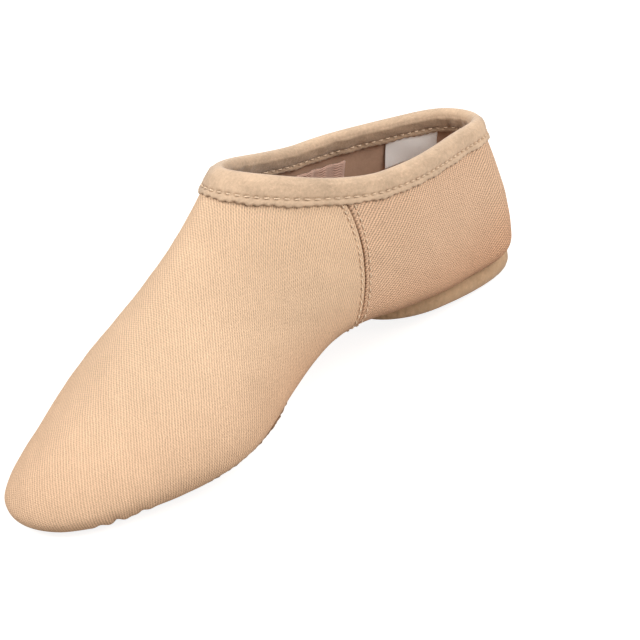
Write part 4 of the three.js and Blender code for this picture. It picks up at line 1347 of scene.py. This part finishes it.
class SLIPPER_OT_arch_band(bpy.types.Operator):
    """Ribbed elastic from one side to the other inside the arch"""
    bl_idname = "slipper.arch_band"
    bl_label = "Arch elastic"

    def execute(self, context):
        inside = context.scene.slipper_inside
        rows = cloth_rows(22, 36)
        across = np.linspace(0, 1, 36)[:, None]
        start = float(seam_tau(1.0)) + TAU_PER_MM * ELASTIC_START
        tau = start + TAU_PER_MM * np.linspace(0, ELASTIC_WIDTH, 36)[:, None] + 0 * rows[None]
        v = on_row(rows[None], tau, ELASTIC_DROP)
        points = two_sided(shell(tau, v))
        outward = two_sided(shell_normal(tau, v))
        fold = 0.28 * np.sin(3.2 * 2 * math.pi * across + 0.03 * points[..., 2])
        points = points + outward * (ELASTIC_HEIGHT + fold)[..., None]
        way = arc_lengths(points, 1)
        uv = np.stack([np.broadcast_to(across * ELASTIC_WIDTH, way.shape), way], -1) / 10
        piece = new_piece("arch_elastic", points, grid_quads(*way.shape), outward=outward, uv=uv)
        thicken(piece, ELASTIC_WALL)
        dress(piece, elastic_material("ribbed_elastic", inside.elastic_colour), ["arch_band"])
        flex(piece)
        return {"FINISHED"}


class SLIPPER_OT_size_tag(bpy.types.Operator):
    """Blank folded tape tag under the inner binding"""
    bl_idname = "slipper.size_tag"
    bl_label = "Size tag"

    def execute(self, context):
        inside = context.scene.slipper_inside
        tau, v, at, down = rim_stations(600)
        chosen = (at[:, 0] > TAG_BACK) & (at[:, 0] < TAG_FRONT)
        stations = (tau[chosen], v[chosen], at[chosen], down[chosen])
        count = int(chosen.sum())
        depth = np.linspace(TAG_TOP - 1.2, TAG_BOTTOM, 26)[None] + np.zeros((count, 1))
        across = np.linspace(-1, 1, count)[:, None]
        drop = (depth - TAG_TOP) / (TAG_BOTTOM - TAG_TOP)
        depth = depth - 2.6 * smoothstep(drop) * (0.5 - 0.5 * across)
        curl = 0.5 * smoothstep(drop) * (0.5 + 0.5 * across)
        height = TAG_HEIGHT - curl - 0.15 * np.sin(3 * across + 4 * drop)
        outer, normal = below_rim(stations, depth, height)
        fold = 0.16 + 0.05 * np.sin(5 * across + 2 * drop)
        inner = outer - normal * (fold + 0.18)[..., None]
        rings = np.concatenate([outer, inner[:, ::-1]], 1) * np.array([1, -1, 1])
        first = (rings[:1] + rings[:1, ::-1]) / 2
        last = (rings[-1:] + rings[-1:, ::-1]) / 2
        grid = np.concatenate([first, rings, last])
        piece = new_piece("size_tape", grid, grid_quads(*grid.shape[:2], wrap_columns=True),
                          masks={"crease": np.zeros(grid.shape[:2])})
        material = nap_material("woven_tape", inside.tag_colour, inside.tag_colour,
                                scale=1500.0, depth=0.00008, contrast=0.1, roughness=0.7, sheen=0.1)
        dress(piece, material, ["size_label"])
        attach(piece, "heel")
        return {"FINISHED"}


class SLIPPER_OT_stitching(bpy.types.Operator):
    """Rows of single stitches on the binding, the seams and the patch"""
    bl_idname = "slipper.stitching"
    bl_label = "Stitching"

    def execute(self, context):
        thread = context.scene.slipper_thread
        material = thread_material("cotton_thread", thread.colour)
        radius = thread.radius * 1000
        small = {"length": 1.9, "radius": radius, "sink": 0.42}
        binding_pitch = thread.binding_pitch * 1000
        seam_pitch = thread.seam_pitch * 1000
        in_groove = 0.22
        outer, outward = rim_line(120, STITCH_DEPTH, BINDING_FACE - in_groove)
        inner, inner_normal = rim_line(120, STITCH_DEPTH, BINDING_BACK + in_groove)
        arch_front = [centre_row(103, 130, side) for side in (1, -1)]
        arch_rear = [centre_row(75, 92, side) for side in (1, -1)]
        rows = {
            "binding_stitches_outer": ([(outer, outward, True)], binding_pitch, ["binding_thread_outer"]),
            "binding_stitches_inner": ([(inner, -inner_normal, True)], binding_pitch,
                                       ["binding_thread_inner"]),
            "seam_stitches_front": ([seam_rows(SEAM_ROW)], seam_pitch, ["seam_thread_front"]),
            "seam_stitches_rear": ([seam_rows(-SEAM_ROW)], seam_pitch, ["seam_thread_rear"]),
            "arch_stitches_front": (arch_front, seam_pitch,
                                    ["arch_thread_front_left", "arch_thread_front_right"]),
            "arch_stitches_rear": (arch_rear, seam_pitch,
                                   ["arch_thread_rear_left", "arch_thread_rear_right"]),
        }
        for name, (lines, pitch, nodes) in rows.items():
            piece = stitches(name, lines, pitch, small)
            dress(piece, material, nodes)
            flex(piece)
        large = {"length": 2.5, "radius": radius * 1.05, "sink": 0.5}
        patch_pitch = thread.patch_pitch * 1000
        for place, row in zip(("outer", "inner"), PATCH_ROWS):
            x, y = patch_outline(turn_angles(400), row)
            at, normal = underside_point(x, y, np.full_like(x, 1.28))
            piece = stitches("patch_stitches_" + place, [(at, normal, True)], patch_pitch, large)
            dress(piece, material, ["patch_thread_" + place])
            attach(piece, "forefoot")
        return {"FINISHED"}


class SLIPPER_OT_stage(bpy.types.Operator):
    """Pale floor, soft lights and the camera"""
    bl_idname = "slipper.stage"
    bl_label = "Stage"

    def execute(self, context):
        stage = context.scene.slipper_stage
        scene = context.scene
        mesh = bpy.data.meshes.new("floor")
        side = np.linspace(-3, 3, 5)
        x, y = np.meshgrid(side, side, indexing="ij")
        co = np.stack([x, y, 0 * x], -1).reshape(-1, 3)
        mesh.from_pydata(co.tolist(), [], grid_quads(5, 5)[:, ::-1].tolist())
        floor = bpy.data.objects.new("floor", mesh)
        scene.collection.objects.link(floor)
        material, tree, shader, at = new_material("pale_floor", 0.8, 0.0)
        grain = noise(tree, at.outputs["Object"], 300.0, 3.0, 0.6)
        colour = shade(tree, stage.floor_colour, remap(tree, grain, 0.3, 0.7, 0.99, 1.01))
        tree.links.new(colour, shader.inputs["Base Color"])
        seen = node(tree, "ShaderNodeLightPath").outputs["Is Camera Ray"]
        shader.inputs["Emission Color"].default_value = (1, 1, 1, 1)
        tree.links.new(maths(tree, "MULTIPLY", seen, stage.floor_glow), shader.inputs["Emission Strength"])
        mesh.materials.append(material)

        ca, sa = math.cos(stage.azimuth), math.sin(stage.azimuth)
        ce, se = math.cos(stage.elevation), math.sin(stage.elevation)
        back = Vector((ce * ca, ce * sa, se))
        across = Vector((-sa, ca, 0))
        up = back.cross(across)
        turn = Matrix((across, up, back)).transposed().to_4x4() @ Matrix.Rotation(stage.roll, 4, "Z")
        data = bpy.data.cameras.new("camera")
        data.lens = stage.lens
        data.sensor_width = 36
        data.clip_start = 0.05
        camera = bpy.data.objects.new("camera", data)
        camera.matrix_world = Matrix.Translation(Vector(LOOK_AT) + back * stage.distance) @ turn
        scene.collection.objects.link(camera)
        scene.camera = camera

        lights = (("key", (0.75, -0.35, 0.95), 0.7, stage.key_power),
                  ("fill", (-0.3, 1.2, 1.1), 1.1, stage.fill_power),
                  ("side", (-1.1, 0.6, 0.8), 0.8, stage.side_power))
        for name, place, size, power in lights:
            lamp = bpy.data.lights.new(name, "AREA")
            lamp.shape = "DISK"
            lamp.size = size
            lamp.energy = power
            lamp.color = (1.0, 0.985, 0.96)
            light = bpy.data.objects.new(name, lamp)
            toward = Vector((0, 0, 0.03)) - Vector(place)
            facing = toward.to_track_quat("-Z", "Y").to_matrix().to_4x4()
            light.matrix_world = Matrix.Translation(place) @ facing
            scene.collection.objects.link(light)
        world = bpy.data.worlds.new("studio")
        world.use_nodes = True
        world.node_tree.nodes["Background"].inputs[0].default_value = (1, 1, 1, 1)
        world.node_tree.nodes["Background"].inputs[1].default_value = stage.room_light
        scene.world = world
        scene.view_settings.view_transform = "Standard"
        return {"FINISHED"}


OPERATORS = (
    SLIPPER_OT_upper, SLIPPER_OT_lining, SLIPPER_OT_binding, SLIPPER_OT_patch, SLIPPER_OT_heel_pad,
    SLIPPER_OT_insoles, SLIPPER_OT_arch_band, SLIPPER_OT_size_tag, SLIPPER_OT_stitching, SLIPPER_OT_stage)
SETTINGS = {
    "slipper_cloth": SlipperCloth, "slipper_binding": SlipperBinding, "slipper_sole": SlipperSole,
    "slipper_inside": SlipperInside, "slipper_thread": SlipperThread, "slipper_stage": SlipperStage}


class SLIPPER_PT_panel(bpy.types.Panel):
    """Pieces of the slipper, with their sizes and colours"""
    bl_label = "Ballet slipper"
    bl_idname = "SLIPPER_PT_panel"
    bl_space_type = "VIEW_3D"
    bl_region_type = "UI"
    bl_category = "Slipper"

    def draw(self, context):
        for operator in OPERATORS:
            self.layout.operator(operator.bl_idname)
        for key, group in SETTINGS.items():
            box = self.layout.box()
            settings = getattr(context.scene, key)
            for name in group.__annotations__:
                box.prop(settings, name)


def register():
    for made in (*SETTINGS.values(), *OPERATORS, SLIPPER_PT_panel):
        bpy.utils.register_class(made)
    for key, group in SETTINGS.items():
        setattr(bpy.types.Scene, key, PointerProperty(type=group))


def unregister():
    for key in SETTINGS:
        delattr(bpy.types.Scene, key)
    for made in reversed((*SETTINGS.values(), *OPERATORS, SLIPPER_PT_panel)):
        bpy.utils.unregister_class(made)


def main():
    """Builds the slipper and its stage."""
    register()
    for operator in OPERATORS:
        result = getattr(bpy.ops.slipper, operator.bl_idname.split(".")[1])()
        if result != {"FINISHED"}:
            raise RuntimeError(operator.bl_idname + " did not finish")


if __name__ == "__main__":
    main()
